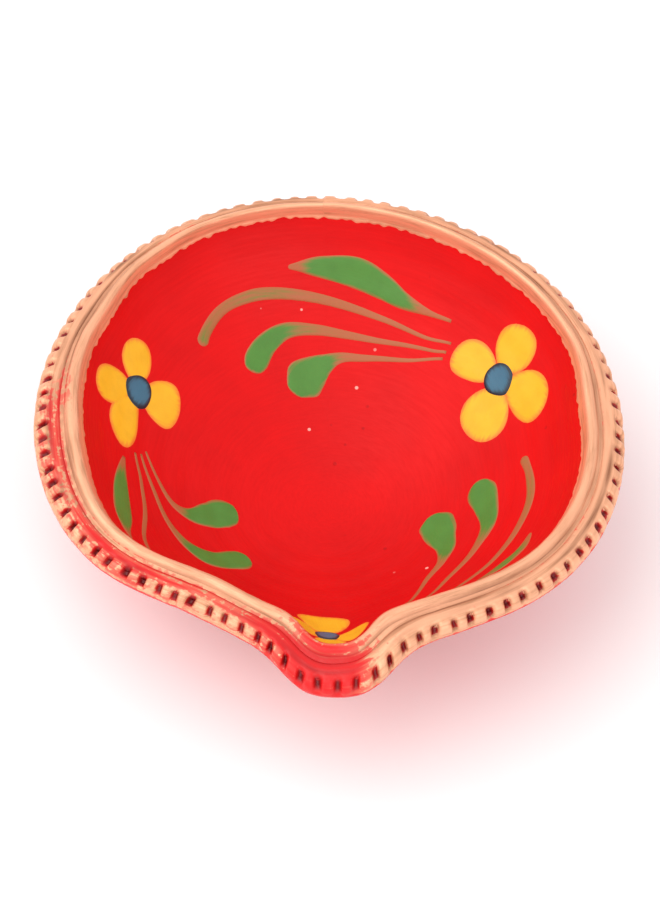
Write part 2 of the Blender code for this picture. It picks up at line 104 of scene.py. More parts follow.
class CLAYLAMP_PG_clay(bpy.types.PropertyGroup):
    """Sizes of the thrown clay."""

    rim_radius: length("Rim radius", "Centre to the crests of the notched edge",
                       (BOWL_HIGH[0] - BOWL_LOW[0]) / 2.0)
    clay_top: length("Ridge height", "Foot to the crest of the ridge", BOWL_HIGH[2])
    floor: length("Floor", "Thickness of the bowl's floor", 4.5 * MM)
    wall: length("Wall", "Thickness of the bowl's wall", 4.5 * MM)
    foot_radius: length("Foot radius", "Radius of the foot", 20.0 * MM)
    foot_height: length("Foot height", "Upright part of the foot", 2.8 * MM)
    foot_flare: length("Foot flare", "The wall starts this far outside the foot", 2.5 * MM)
    flange: length("Flange", "Usual width from the notch crests to the ridge's inner foot", 8.4 * MM)
    ridge_width: length("Ridge width", "Width of the ridge", 3.6 * MM)
    ridge_drop: length("Ridge drop", "Ridge crest above its inner foot", 2.6 * MM)
    groove: length("Groove", "Ridge crest above the groove", 1.1 * MM)
    lip_rise: length("Lip rise", "Lip above the groove", 0.3 * MM)
    lip_round: length("Lip rounding", "The lip rounds over from here to the edge", 1.9 * MM)
    edge_height: length("Edge height", "Height of the notched outer face", 3.8 * MM)
    edge_round: length("Edge rounding", "Radius of the edge's corners", 1.1 * MM)
    undercut: length("Undercut", "Rise of the flange's underside", 3.2 * MM)
    notch_pitch: length("Notch pitch", "From one notch to the next", 3.6 * MM)
    notch_depth: length("Notch depth", "Depth pressed in by the tool", 1.5 * MM)
    spout_reach: length("Spout reach", "How far the spout is pulled out", 6.3 * MM)
    spout_width: length("Spout width", "Outer width of the spout", 22.5 * MM)
    spout_lip: length("Spout lip", "The flange is wider by this at the spout", 0.8 * MM)
    channel_width: length("Channel width", "Inner width of the spout", 15.0 * MM)
    channel_dip: length("Channel dip", "The ridge lies lower by this at the spout", 0.8 * MM)
    lip_dip: length("Lip dip", "The lip lies lower by this at the spout", 2.8 * MM)
    spout_start: length("Spout start", "Height where the spout grows out of the wall", 8.0 * MM)
    skew: length("Skew", "The rim is longer by this along one slanting direction", 1.1 * MM)
    back_droop: length("Back droop", "The lip lies lower by this at the back", 1.2 * MM)
    dent_left: length("Left dent", "The rim is pressed in by this left of the spout", 4.0 * MM)
    dent_right: length("Right dent", "The rim is pressed in by this right of the spout", 2.4 * MM)
    shoulder_left: length("Left shoulder", "The rim bulges by this beyond the left dent", 1.4 * MM)
    shoulder_right: length("Right shoulder", "The rim bulges by this beyond the right dent", 0.8 * MM)
    throwing: length("Throwing marks", "Height of the rings left by the potter's fingers", 0.10 * MM)
    unevenness: length("Unevenness", "How far the hand-made rim strays from true", 0.30 * MM)
    seed: IntProperty(name="Seed", description="Start of the random hand-made variation", default=7)


class CLAYLAMP_PG_paint(bpy.types.PropertyGroup):
    """Colours and sizes of the paint."""

    red: colour("Red", "Base coat", (0.76, 0.004, 0.005))
    deep_red: colour("Deep red", "Base coat where it pools", (0.30, 0.004, 0.006))
    gold: colour("Gold", "Metallic paint on the rim", (0.97, 0.46, 0.27))
    # This colour is both brown dirt along the lip and painted shade in the groove and the notches
    grime_and_shade: colour("Grime", "Brown dirt in the grooves of the rim", (0.20, 0.060, 0.022))
    dull_gold: colour("Dull gold", "Metallic paint where it is thin or grubby", (0.34, 0.14, 0.055))
    yellow: colour("Yellow", "Petals", (0.97, 0.53, 0.020))
    orange: colour("Orange", "Petals where the red shines through", (0.90, 0.22, 0.03))
    blue: colour("Blue", "Flower centres", (0.045, 0.17, 0.27))
    ink: colour("Ink blue", "Rim of the flower centres", (0.010, 0.022, 0.040))
    green: colour("Green", "Leaves", (0.085, 0.27, 0.040))
    olive: colour("Olive", "Leaves where the paint is thin", (0.46, 0.135, 0.050))
    speck: colour("Speck", "Pale specks in the base coat", (0.98, 0.42, 0.36))
    clay: colour("Clay", "Bare fired clay", (0.46, 0.19, 0.095))
    coat: length("Coat", "Thickness of a coat of gold", 0.08 * MM)
    dab: length("Dab", "Thickness of a brush dab", 0.16 * MM)
    reach: length("Flower reach", "Flower's centre to its petal tips", 11.0 * MM)


class CLAYLAMP_PG_stage(bpy.types.PropertyGroup):
    """Camera, floor and lights."""

    distance: length("Camera distance", "Camera to the middle of the rim", 1.09)
    elevation: FloatProperty(name="Elevation", description="Camera above the horizon",
                             default=math.radians(53.3), subtype="ANGLE", unit="ROTATION")
    turn: FloatProperty(name="Turn", description="Camera turned round the lamp",
                        default=math.radians(-1.5), subtype="ANGLE", unit="ROTATION")
    fill: amount("Fill", "Share of the picture's width that the lamp takes", 0.88)
    floor_size: length("Floor", "Width of the floor", 6.0)
    key: amount("Key light", "Power of the key light in watts", 4.6, 1000.0)
    soft: amount("Fill light", "Power of the fill light in watts", 2.2, 1000.0)
    sky: amount("Surroundings", "Strength of the white surroundings", 0.90, 10.0)


# ------------------------------------------------------------------------------------------------- maths


def heading(share):
    """Unit vectors in plan for shares of a turn, counted from the back of the lamp."""
    angle = np.radians(BACK + 360.0 * np.asarray(share))
    return np.stack([np.cos(angle), np.sin(angle)], axis=-1)


def share_of(azimuth):
    """Share of a turn of an azimuth in degrees."""
    return (np.asarray(azimuth) - BACK) / 360.0


def turn_from_spout(share):
    """Signed angle in degrees from the spout, within half a turn."""
    return (BACK + 360.0 * np.asarray(share) - SPOUT + 180.0) % 360.0 - 180.0


def smooth_step(value, low, high):
    """Zero below low, one above high, and 3t^2 - 2t^3 between."""
    share = np.clip((value - low) / (high - low), 0.0, 1.0)
    return share * share * (3.0 - 2.0 * share)


def plateau(value, start, full, fade, gone):
    """Zero outside start and gone, one from full to fade, and smooth steps between."""
    return smooth_step(value, start, full) * (1.0 - smooth_step(value, fade, gone))


def bell(value, middle, spread):
    """exp(-half the square of the distance from the middle, in spreads)."""
    return np.exp(-0.5 * ((value - middle) / spread) ** 2)


def waves(share, seed, orders, falloff=0.6):
    """A value that wanders round a full turn: a sum of cosines of the given orders with random phases."""
    phases = np.random.default_rng(seed).uniform(0.0, 2.0 * math.pi, len(orders))
    sizes = np.array(orders, dtype=float) ** -falloff
    angle = 2.0 * math.pi * np.asarray(share)
    return sum(size * np.cos(order * angle + phase)
               for order, size, phase in zip(orders, sizes / sizes.sum(), phases))


# What wanders round the lamp: seed, orders of the cosines, and how fast the higher orders get smaller
WANDERING = {
    "brushed rings": (5, (1, 2, 4), 0.6),
    "flange lumps": (21, (19, 31, 43, 67, 91), 0.6),
    "foot": (31, (2, 3, 5), 0.6),
    "gold load": (41, (7, 13, 23, 37), 0.6),
    "gold edge": (51, (3, 5, 9, 17, 29, 53, 97), 0.3),
    "gold edge, fine": (52, (71, 113, 167), 0.2),
    "groove shade": (61, (3, 7, 11, 19), 0.3),
    "lip grime": (62, (5, 9, 17, 29), 0.3),
}


def wandering(what, share):
    """One of the wandering values."""
    return waves(share, *WANDERING[what])


def through(points, count, crowd_end=1.0):
    """Catmull-Rom curve through a few rows of numbers, at count places evenly along its parameter.

    crowd_end above one brings the places closer together towards the end.
    """
    points = np.array(points, dtype=float)
    padded = np.vstack([2.0 * points[0] - points[1], points, 2.0 * points[-1] - points[-2]])
    place = (len(points) - 1.0) * (1.0 - (1.0 - np.linspace(0.0, 1.0, count)) ** crowd_end)
    span = np.minimum(place.astype(int), len(points) - 2)
    t = (place - span)[:, None]
    before, start, end, after = (padded[span + k] for k in range(4))
    bend = 2.0 * before - 5.0 * start + 4.0 * end - after
    twist = 3.0 * start - before - 3.0 * end + after
    return 0.5 * (2.0 * start + (end - before) * t + bend * t ** 2 + twist * t ** 3)


def even_along(curve, count, used=2):
    """The curve sampled again at even distances, measured over its first columns."""
    steps = np.linalg.norm(np.diff(curve[:, :used], axis=0), axis=1)
    walked = np.concatenate([[0.0], np.cumsum(steps)])
    places = np.linspace(0.0, walked[-1], count)
    return np.stack([np.interp(places, walked, column) for column in curve.T], axis=-1)


# --------------------------------------------------------------------------------------------- clay shape


class Outline:
    """A closed plan curve, given by its radius at each share of a turn, walked in even steps."""

    SAMPLES = 5760

    def __init__(self, radius):
        share = np.linspace(0.0, 1.0, self.SAMPLES + 1)
        self.points = heading(share) * radius(share)[:, None]
        steps = np.linalg.norm(np.diff(self.points, axis=0), axis=1)
        self.length = float(steps.sum())
        self.walked = np.concatenate([[0.0], np.cumsum(steps)]) / self.length

    def at(self, share):
        """Points of the curve at shares of its length."""
        share = np.asarray(share) % 1.0
        return np.stack([np.interp(share, self.walked, self.points[:, axis]) for axis in (0, 1)], axis=-1)


class Lamp:
    """The lamp's surfaces. Each takes shares of a turn from the back and a place across the surface."""

    # Turn from the spout and spread of each bell, both in degrees
    DENT_LEFT = (-32.0, 13.0)
    DENT_RIGHT = (24.0, 14.0)
    SHOULDER_LEFT = (-60.0, 22.0)
    SHOULDER_RIGHT = (55.0, 20.0)
    BACK_DROOP = (-165.0, 42.0)
    SKEW_AZIMUTH = 137.0
    # Share of the flange's usual width at azimuths round the rim, in degrees
    FLANGE_WIDTHS = ((0, 0.90), (22, 0.68), (60, 0.61), (115, 0.57), (132, 0.66), (152, 0.88),
                     (183, 1.10), (215, 0.96), (270, 1.00), (310, 0.95), (340, 0.93), (360, 0.90))
    # Spacing of the throwing marks up the inner wall, and of the coarse and fine ones up the outer wall
    INNER_MARKS = 5.2 * MM
    OUTER_MARKS = (2.9 * MM, 1.3 * MM)
    INNER_SHARE = 0.35         # height of the inner marks as a share of the outer ones
    MARKS_START = (4.0 * MM, 14.0 * MM)           # from the bowl's middle: where they start and are full
    MARKS_FADE = 5.0 * MM      # length over which they fade below the ridge
    # Ranges that each notch is drawn from: its depth as a share of the usual one; its half width, shift
    # and slant as shares of the pitch; and how far in millimetres its start strays
    NOTCH_RANGES = ((0.78, 1.15), (0.16, 0.23), (-0.06, 0.06), (-0.10, 0.14), (-0.25, 0.25))
    NOTCH_START = -0.3 * MM    # from the lip's rounding, outwards along the section
    NOTCH_EARLIER = 0.7 * MM   # notches start further in by this where the edge faces up
    NOTCH_RUN_IN = 1.3 * MM    # length over which a notch gets its full depth
    NOTCH_RUN_OUT = 1.6 * MM
    FACING_UP = ((62.0, 34.0), (180.0, 50.0))     # turn from the spout and spread: left, and at the back
    # Brushed rings: spacing, depth round the rim and further depth at the spout, and where across the
    # flange they start and are full at the edge, and start and are full to fade at the groove
    BRUSHED_SPACING = 1.05 * MM
    BRUSHED_DEPTHS = (0.03 * MM, 0.10 * MM)
    BRUSHED_EDGES = (0.8 * MM, 2.0 * MM, 5.0 * MM, 6.2 * MM)
    LUMPS = 0.06 * MM          # height of the flange's small lumps

    def __init__(self, clay):
        self.clay = clay
        self.mouth_radius = clay.rim_radius - clay.flange
        self.mouth_height = clay.clay_top - clay.ridge_drop
        self.groove = clay.flange - clay.ridge_width
        depth = self.mouth_height - clay.floor
        self.curve = (self.mouth_radius ** 2 + depth ** 2) / (2.0 * depth)
        self.centre = clay.floor + self.curve
        self.wall_length = self.curve * math.asin(self.mouth_radius / self.curve)
        self.outer_curve = self.curve + clay.wall
        self.lip_height = clay.clay_top - clay.groove + clay.lip_rise
        self.edge_top = self.lip_height - clay.edge_round
        self.edge_bottom = self.edge_top - clay.edge_height + 2.0 * clay.edge_round
        self.wall_top = self.edge_bottom - clay.edge_round - clay.undercut
        self.outer = Outline(self.outer_radius)
        self.mouth = Outline(self.inner_radius)
        self.notches = 4 * round(self.outer.length / clay.notch_pitch / 4.0)
        self.section = self.flange_section()

    def spout_share(self, share, width):
        """One on the spout's middle line and fading to its sides: exp(-|x / half width|^3)."""
        turn = np.clip(turn_from_spout(share), -90.0, 90.0)
        across = self.clay.rim_radius * np.sin(np.radians(turn))
        return np.exp(-np.abs(across / (width / 2.0)) ** 3)

    def flange_share(self, share):
        """Share of the flange's usual width: smooth steps from each entry of the table to the next."""
        azimuth = (BACK + 360.0 * np.asarray(share)) % 360.0
        table = np.array(self.FLANGE_WIDTHS)
        entry = np.clip(np.searchsorted(table[:, 0], azimuth, side="right") - 1, 0, len(table) - 2)
        step = smooth_step((azimuth - table[entry, 0]) / (table[entry + 1, 0] - table[entry, 0]), 0.0, 1.0)
        return table[entry, 1] + step * (table[entry + 1, 1] - table[entry, 1])

    def droop(self, share):
        """How far the lip hangs at the back, in a bell."""
        turn = (turn_from_spout(share) - self.BACK_DROOP[0] + 180.0) % 360.0 - 180.0
        return self.clay.back_droop * bell(turn, 0.0, self.BACK_DROOP[1])

    def pressed_radius(self, share):
        """A slightly oval circle with a shallow bell-shaped dent on each side of the spout."""
        turn = turn_from_spout(share)
        left = self.clay.dent_left * bell(turn, *self.DENT_LEFT)
        left = left - self.clay.shoulder_left * bell(turn, *self.SHOULDER_LEFT)
        right = self.clay.dent_right * bell(turn, *self.DENT_RIGHT)
        right = right - self.clay.shoulder_right * bell(turn, *self.SHOULDER_RIGHT)
        stray = self.clay.unevenness * waves(share, self.clay.seed, (2, 3, 5, 7))
        azimuth = BACK + 360.0 * np.asarray(share)
        oval = self.clay.skew * np.cos(2.0 * np.radians(azimuth - self.SKEW_AZIMUTH))
        return self.clay.rim_radius - left - right + stray + oval

    def outer_radius(self, share):
        """Plan radius of the notch crests."""
        reach = self.clay.spout_reach * self.spout_share(share, self.clay.spout_width)
        return self.pressed_radius(share) + reach

    def inner_radius(self, share):
        """Plan radius of the ridge's inner foot: inside the notch crests by the flange's local width."""
        reach = self.clay.spout_reach - self.clay.spout_lip
        reach = reach * self.spout_share(share, self.clay.channel_width)
        stray = 0.5 * self.clay.unevenness * waves(share, self.clay.seed + 1, (3, 5, 8, 13))
        return self.pressed_radius(share) - self.clay.flange * self.flange_share(share) + reach + stray

    def rim_height(self, share):
        """How far the hand-made rim rises and falls."""
        return self.clay.unevenness * waves(share, self.clay.seed + 2, (2, 3, 4, 6))

    def on_flange(self, share, inwards, height):
        """Points of the flange, inwards of the outer outline by a length, dipping at the spout."""
        across = (inwards / self.clay.flange)[..., None]
        plan = self.outer.at(share) * (1.0 - across) + self.mouth.at(share) * across
        dip = self.clay.lip_dip * (1.0 - across[..., 0]) + self.clay.channel_dip * across[..., 0]
        dip = dip * self.spout_share(share, self.clay.spout_width) - self.rim_height(share)
        dip = dip + (1.0 - across[..., 0]) * self.droop(share)
        return np.concatenate([plan, (height - dip)[..., None]], axis=-1)

    def follow(self, share, radius, height, edge, edge_radius, edge_dip, edge_droop, top):
        """A round ring that takes on the rim's shape as it rises from the spout's start to the top."""
        rise = smooth_step(height, self.clay.spout_start, top)
        plan = heading(share) * radius[..., None] + rise[..., None] * (edge - heading(share) * edge_radius)
        dip = edge_dip * self.spout_share(share, self.clay.spout_width) - self.rim_height(share)
        dip = dip + edge_droop * self.droop(share)
        return np.concatenate([plan, (height - rise * dip)[..., None]], axis=-1)

    def inner(self, share, along, lift=0.0):
        """Points of the inner wall: an arc of a circle turned round the axis, and drawn out at the spout.

        along is the distance up the wall from the bowl's middle, lift the distance off the wall.
        """
        share, along, lift = np.broadcast_arrays(share, along, lift)
        slope = along / self.curve
        marks = np.sin(2.0 * math.pi * (along / self.INNER_MARKS + share))
        marks = marks * smooth_step(along, *self.MARKS_START)
        marks = marks * smooth_step(self.wall_length - along, 0.0, self.MARKS_FADE)
        marks = self.INNER_SHARE * self.clay.throwing * marks
        reach = self.curve - lift - marks
        radius = reach * np.sin(slope)
        height = self.centre - reach * np.cos(slope)
        return self.follow(share, radius, height, self.mouth.at(share), self.mouth_radius,
                           self.clay.channel_dip, 0.0, self.mouth_height)

    def outside(self, share, height):
        """Points of the outer wall: the inner wall's arc moved out by the wall, with deeper marks."""
        share, height = np.broadcast_arrays(share, height)
        radius = np.sqrt(self.outer_curve ** 2 - (self.centre - height) ** 2)
        coarse, fine = self.OUTER_MARKS
        rings = np.sin(2.0 * math.pi * (height / coarse + share))
        rings = rings + 0.5 * np.sin(2.0 * math.pi * (height / fine - 2.0 * share))
        fade = smooth_step(height, self.clay.foot_height, 2.0 * self.clay.foot_height)
        fade = fade * smooth_step(self.wall_top - height, 0.0, 3.0 * MM)
        radius = radius + self.clay.throwing * rings * fade
        top_radius = math.sqrt(self.outer_curve ** 2 - (self.centre - self.wall_top) ** 2)
        across = (self.clay.rim_radius - top_radius) / self.clay.flange
        edge = self.outer.at(share) * (1.0 - across) + self.mouth.at(share) * across
        dip = self.clay.lip_dip * (1.0 - across) + self.clay.channel_dip * across
        droop = 1.0 - across
        return self.follow(share, radius, height, edge, top_radius, dip, droop, self.wall_top)

    def flange_section(self):
        """Section of the flange as rows (inwards, height, distance walked), from the mouth to the wall."""
        clay = self.clay
        crest = clay.flange - clay.ridge_width / 2.0
        groove = self.groove
        top_radius = math.sqrt(self.outer_curve ** 2 - (self.centre - self.wall_top) ** 2)
        wall_inwards = clay.rim_radius - top_radius
        bottom = self.edge_bottom - clay.edge_round
        points = [
            (clay.flange, self.mouth_height),
            (crest + 0.36 * clay.ridge_width, clay.clay_top - 0.45 * clay.ridge_drop),
            (crest + 0.22 * clay.ridge_width, clay.clay_top - 0.12 * clay.ridge_drop),
            (crest, clay.clay_top),
            (crest - 0.20 * clay.ridge_width, clay.clay_top - 0.18 * clay.groove),
            (crest - 0.36 * clay.ridge_width, clay.clay_top - 0.72 * clay.groove),
            (groove, clay.clay_top - 1.25 * clay.groove),
            (groove - 0.5 * MM, self.lip_height - 0.6 * clay.lip_rise),
            ((groove + clay.lip_round) / 2.0, self.lip_height + 0.1 * clay.lip_rise),
            (clay.lip_round, self.lip_height),
            (clay.lip_round - 0.62 * clay.edge_round, self.lip_height - 0.22 * clay.edge_round),
            (0.28 * clay.edge_round, self.edge_top + 0.12 * clay.edge_round),
            (0.0, self.edge_top - 0.6 * clay.edge_round),
            (0.0, (self.edge_top + self.edge_bottom) / 2.0),
            (0.05 * clay.edge_round, self.edge_bottom),
            (0.35 * clay.edge_round, self.edge_bottom - 0.75 * clay.edge_round),
            (1.1 * clay.edge_round, bottom - 0.05 * clay.undercut),
            (0.5 * wall_inwards, bottom - 0.22 * clay.undercut),
            (0.85 * wall_inwards, bottom - 0.52 * clay.undercut),
            (wall_inwards, self.wall_top),
        ]
        return even_along(through(points, 600), 400)

    def section_at(self, walk):
        """(inwards, height, normal inwards, normal height) of the section at walked shares, 0 to 1."""
        places = np.linspace(0.0, 1.0, len(self.section))
        slope = np.gradient(self.section, axis=0)
        slope = slope / np.linalg.norm(slope, axis=1)[:, None]
        columns = (self.section[:, 0], self.section[:, 1], -slope[:, 1], slope[:, 0])
        return [np.interp(walk, places, column) for column in columns]

    def walk_to(self, inwards):
        """Walked share of the section where it first comes as far out as inwards."""
        reached = np.nonzero(self.section[:, 0] <= inwards)[0][0]
        return reached / (len(self.section) - 1.0)

    def section_length(self):
        """Distance walked along the whole section."""
        return float(np.linalg.norm(np.diff(self.section, axis=0), axis=1).sum())

    def notch_share(self, share, walk):
        """How deep the notching tool pressed at each place, as a share of the usual notch's depth.

        Round the rim a notch is exp(-|x|^2.6), and along the section it runs in from the lip and fades out
        at the bottom. Each notch has its own depth, width, place and slant.
        """
        draw = np.random.default_rng(self.clay.seed + 11)
        depth, width, shift, slant, stray = (draw.uniform(low, high, self.notches)
                                             for low, high in self.NOTCH_RANGES)
        place = share * self.notches
        tooth = np.round(place).astype(int) % self.notches
        walked = (walk - self.walk_to(self.clay.lip_round)) * self.section_length()
        side = turn_from_spout(share)
        (left, left_spread), (back, back_spread) = self.FACING_UP
        facing_up = bell(side, -left, left_spread) + bell(np.abs(side), back, back_spread)
        begin = self.NOTCH_START - self.NOTCH_EARLIER * facing_up + stray[tooth] * MM
        end = begin + 0.85 * self.clay.edge_height + 1.0 * MM
        leaning = slant[tooth] * (walked - begin) / self.clay.edge_height
        x = place - np.round(place) - shift[tooth] - leaning
        across = np.exp(-np.abs(x / width[tooth]) ** 2.6)
        down = plateau(walked, begin, begin + self.NOTCH_RUN_IN, end - self.NOTCH_RUN_OUT, end)
        return depth[tooth] * across * down

    def flange(self, share, walk, lift=0.0):
        """Points of the flange with its notches, brushed rings and lumps, lift off the clay."""
        share, walk, lift = np.broadcast_arrays(share, walk, lift)
        inwards, height, in_normal, up_normal = self.section_at(walk)
        walked = walk * self.section_length()
        lip = plateau(inwards, *self.BRUSHED_EDGES)
        turns = walked / self.BRUSHED_SPACING + 0.6 * wandering("brushed rings", share)
        rings = 0.5 - 0.5 * np.cos(2.0 * math.pi * turns)
        usual, at_spout = self.BRUSHED_DEPTHS
        spout = self.spout_share(share, 1.2 * self.clay.spout_width)
        sink = lip * rings * (usual + at_spout * spout)
        lumps = self.LUMPS * wandering("flange lumps", share) * smooth_step(walk, 0.02, 0.08)
        press = self.clay.notch_depth * self.notch_share(share, walk)
        press = press + sink + lumps * (1.0 - smooth_step(walk, 0.9, 1.0)) - lift
        return self.on_flange(share, inwards + press * in_normal, height + press * up_normal)


# ----------------------------------------------------------------------------------------------- meshing


def band_faces(first, first_count, second, second_count):
    """Triangles and quads between two rings; the finer ring has as many points or three times as many."""
    if first_count > second_count:
        triangles, quads = band_faces(second, second_count, first, first_count)
        return triangles[:, ::-1], quads[:, ::-1]
    near = np.arange(first_count)
    far = (near + 1) % first_count
    if first_count == second_count:
        quads = np.column_stack([first + near, first + far, second + far, second + near])
        return np.zeros((0, 3), int), quads
    fine = [second + (3 * near + k) % second_count for k in range(4)]
    near, far = first + near, first + far
    triangles = np.vstack([np.column_stack([near, fine[1], fine[0]]),
                           np.column_stack([far, fine[3], fine[2]])])
    return triangles, np.column_stack([near, far, fine[2], fine[1]])


def closed_rings(name, rings, looped=False, fields=None):
    """Sew rings (arrays of points) into one closed mesh object with its faces pointing out.

    The end rings are closed with fans to their middles, or sewn to each other if looped. fields are
    named lists of one value or vector per ring point, kept as attributes of the mesh.
    """
    counts = [len(ring) for ring in rings]
    starts = np.concatenate([[0], np.cumsum(counts)])[:-1]
    pairs = list(zip(range(len(rings)), range(1, len(rings))))
    if looped:
        pairs.append((len(rings) - 1, 0))
    triangles, quads = [], []
    for a, b in pairs:
        some_triangles, some_quads = band_faces(starts[a], counts[a], starts[b], counts[b])
        triangles.append(some_triangles)
        quads.append(some_quads)
    points = np.vstack(rings)
    middles = []
    if not looped:
        for end, turned in ((0, False), (-1, True)):
            ring = starts[end] + np.arange(counts[end])
            following = np.roll(ring, -1)
            if turned:
                ring, following = following, ring
            middle = np.full(counts[end], len(points) + len(middles))
            triangles.append(np.column_stack([middle, following, ring]))
            middles.append(rings[end].mean(axis=0))
        points = np.vstack([points, middles])
    triangles = np.vstack(triangles)
    quads = np.vstack(quads)
    if volume(points, triangles, quads) < 0.0:
        triangles = triangles[:, ::-1]
        quads = quads[:, ::-1]

    mesh = bpy.data.meshes.new(name)
    mesh.from_pydata(points, [], triangles.tolist() + quads.tolist())
    for field, values in (fields or {}).items():
        values = np.concatenate([np.ravel(value) if np.ndim(value) < 2 else value for value in values])
        ends = [values[starts[end]:starts[end] + counts[end]].mean(axis=0) for end in (0, -1)]
        values = np.concatenate([values, ends]) if middles else values
        vector = values.ndim == 2
        attribute = mesh.attributes.new(field, "FLOAT_VECTOR" if vector else "FLOAT", "POINT")
        attribute.data.foreach_set("vector" if vector else "value", np.ravel(values).astype(np.float32))
    mesh.shade_smooth()
    piece = bpy.data.objects.new(name, mesh)
    bpy.context.scene.collection.objects.link(piece)
    return piece


def volume(points, triangles, quads):
    """Six times the signed volume inside the faces."""
    corners = np.vstack([triangles, quads[:, [0, 1, 2]], quads[:, [0, 2, 3]]])
    a, b, c = (points[corners[:, k]] for k in range(3))
    return float(np.einsum("ij,ij->i", a, np.cross(b, c)).sum())


def settle(piece, material, slot_name, *nodes):
    """Give a piece its material, hang it on the lamp and let it stand for its solids."""
    piece.data.materials.append(material)
    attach(piece, "root")
    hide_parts(*nodes)


# ---------------------------------------------------------------------------------------- shader builders


def feed(tree, socket, value):
    """Link a socket to another socket, or set it to a number or a colour."""
    if isinstance(value, bpy.types.NodeSocket):
        tree.links.new(value, socket)
    elif socket.type == "RGBA":
        socket.default_value = (*value, 1.0)
    else:
        socket.default_value = value


def add_node(tree, kind, inputs=None, **settings):
    """A shader node with its settings, and its inputs fed by name or number."""
    node = tree.nodes.new("ShaderNode" + kind)
    for name, value in settings.items():
        setattr(node, name, value)
    for name, value in (inputs or {}).items():
        feed(tree, node.inputs[name], value)
    return node


def maths(tree, operation, *operands):
    """The result of a Math node."""
    return add_node(tree, "Math", dict(enumerate(operands)), operation=operation).outputs[0]


def ramp(tree, value, low, high):
    """A smooth step: zero below low and one above high."""
    inputs = {"Value": value, "From Min": low, "From Max": high}
    return add_node(tree, "MapRange", inputs, interpolation_type="SMOOTHSTEP").outputs["Result"]


def scaled(tree, value, low, high):
    """A value from zero to one, spread from low to high."""
    return add_node(tree, "MapRange", {"Value": value, "To Min": low, "To Max": high}).outputs["Result"]


def mix(tree, share, first, second):
    """A colour between two."""
    return add_node(tree, "Mix", {0: share, 6: first, 7: second}, data_type="RGBA").outputs[2]


def noise(tree, vector, scale, detail, roughness=0.5):
    """The value of a Noise texture."""
    inputs = {"Vector": vector, "Scale": scale, "Detail": detail, "Roughness": roughness}
    return add_node(tree, "TexNoise", inputs).outputs["Fac"]


def object_place(tree):
    """Coordinates fixed to the lamp, in metres."""
    return add_node(tree, "TexCoord").outputs["Object"]


def field(tree, name, output="Fac"):
    """One of the mesh's attributes."""
    return add_node(tree, "Attribute", attribute_name=name).outputs[output]


def darker(paint_colour, share):
    """A colour multiplied by a share."""
    return [share * channel for channel in paint_colour]


def lay_out(tree, across=220.0, down=260.0):
    """Stand the nodes in columns, each left of the nodes that it feeds."""
    column = {node.name: 0 for node in tree.nodes}
    for _ in range(len(column)):
        for link in tree.links:
            source, target = link.from_node.name, link.to_node.name
            column[source] = max(column[source], column[target] + 1)
    for number in set(column.values()):
        names = [name for name in column if column[name] == number]
        for row, name in enumerate(names):
            tree.nodes[name].location = (-across * number, -down * row)


def new_group(name, inputs, outputs):
    """An empty node group, the sockets that bring its inputs and the sockets that take its results.

    inputs holds each input's default number, or None for a vector.
    """
    tree = bpy.data.node_groups.new(name, "ShaderNodeTree")
    for label, default in inputs.items():
        kind = "NodeSocketVector" if default is None else "NodeSocketFloat"
        socket = tree.interface.new_socket(label, in_out="INPUT", socket_type=kind)
        if default is not None:
            socket.default_value = default
    for label in outputs:
        tree.interface.new_socket(label, in_out="OUTPUT", socket_type="NodeSocketFloat")
    return tree, tree.nodes.new("NodeGroupInput").outputs, tree.nodes.new("NodeGroupOutput").inputs


def use_group(tree, build, **values):
    """The results of a shared node group, which is built the first time it is asked for."""
    group = bpy.data.node_groups.get(build.__name__)
    if group is None:
        group = build()
        lay_out(group)
    return add_node(tree, "Group", values, node_tree=group).outputs


def brushwork():
    """Brush hairs: noise stretched along the stroke, as streaks from zero to one and as a height.

    Stroke runs along the stroke in its first number and across it in its second, in metres. Hairs and
    Length are the noise's scales across and along it.
    """
    tree, given, results = new_group("brushwork", {"Stroke": None, "Hairs": 1800.0, "Length": 90.0},
                                     ["Streaks", "Height"])
    split = add_node(tree, "SeparateXYZ", {0: given["Stroke"]}).outputs
    along = maths(tree, "MULTIPLY", split[0], given["Length"])
    across = maths(tree, "MULTIPLY", split[1], given["Hairs"])
    stretched = add_node(tree, "CombineXYZ", {0: along, 1: across}).outputs[0]
    hairs = noise(tree, stretched, 1.0, 3.0, 0.6)
    feed(tree, results["Streaks"], ramp(tree, hairs, 0.30, 0.72))
    feed(tree, results["Height"], hairs)
    return tree


# Spots in the clay: cells per metre, and the share of a cell's size where a spot starts to end and has ended
SPOTS = {"Pits": (260.0, 0.06, 0.13), "Specks": (150.0, 0.040, 0.060)}
CHOSEN_SPOTS = (0.62, 0.66)    # slow noise below the first hides every spot, above the second none
PIT_DEPTH = 0.9                # of a pit, as a share of the fine grain's height


def clay_grain():
    """Fired clay under paint: slow mottling, fine grain, and a few pits and pale specks."""
    tree, given, results = new_group("clay_grain", {"Grain": 900.0, "Mottle": 70.0},
                                     ["Mottling", "Height", *SPOTS])
    place = object_place(tree)
    slow = noise(tree, place, given["Mottle"], 4.0)
    height = noise(tree, place, given["Grain"], 5.0)
    feed(tree, results["Mottling"], ramp(tree, slow, 0.32, 0.70))
    for label, (cells, low, high) in SPOTS.items():
        distance = add_node(tree, "TexVoronoi", {"Vector": place, "Scale": cells}).outputs["Distance"]
        inside = maths(tree, "SUBTRACT", 1.0, ramp(tree, distance, low, high))
        chosen = ramp(tree, noise(tree, place, 0.31 * cells, 1.0), *CHOSEN_SPOTS)
        spots = maths(tree, "MULTIPLY", inside, chosen)
        feed(tree, results[label], spots)
        if label == "Pits":
            height = maths(tree, "MULTIPLY_ADD", spots, -PIT_DEPTH, height)
    feed(tree, results["Height"], height)
    return tree


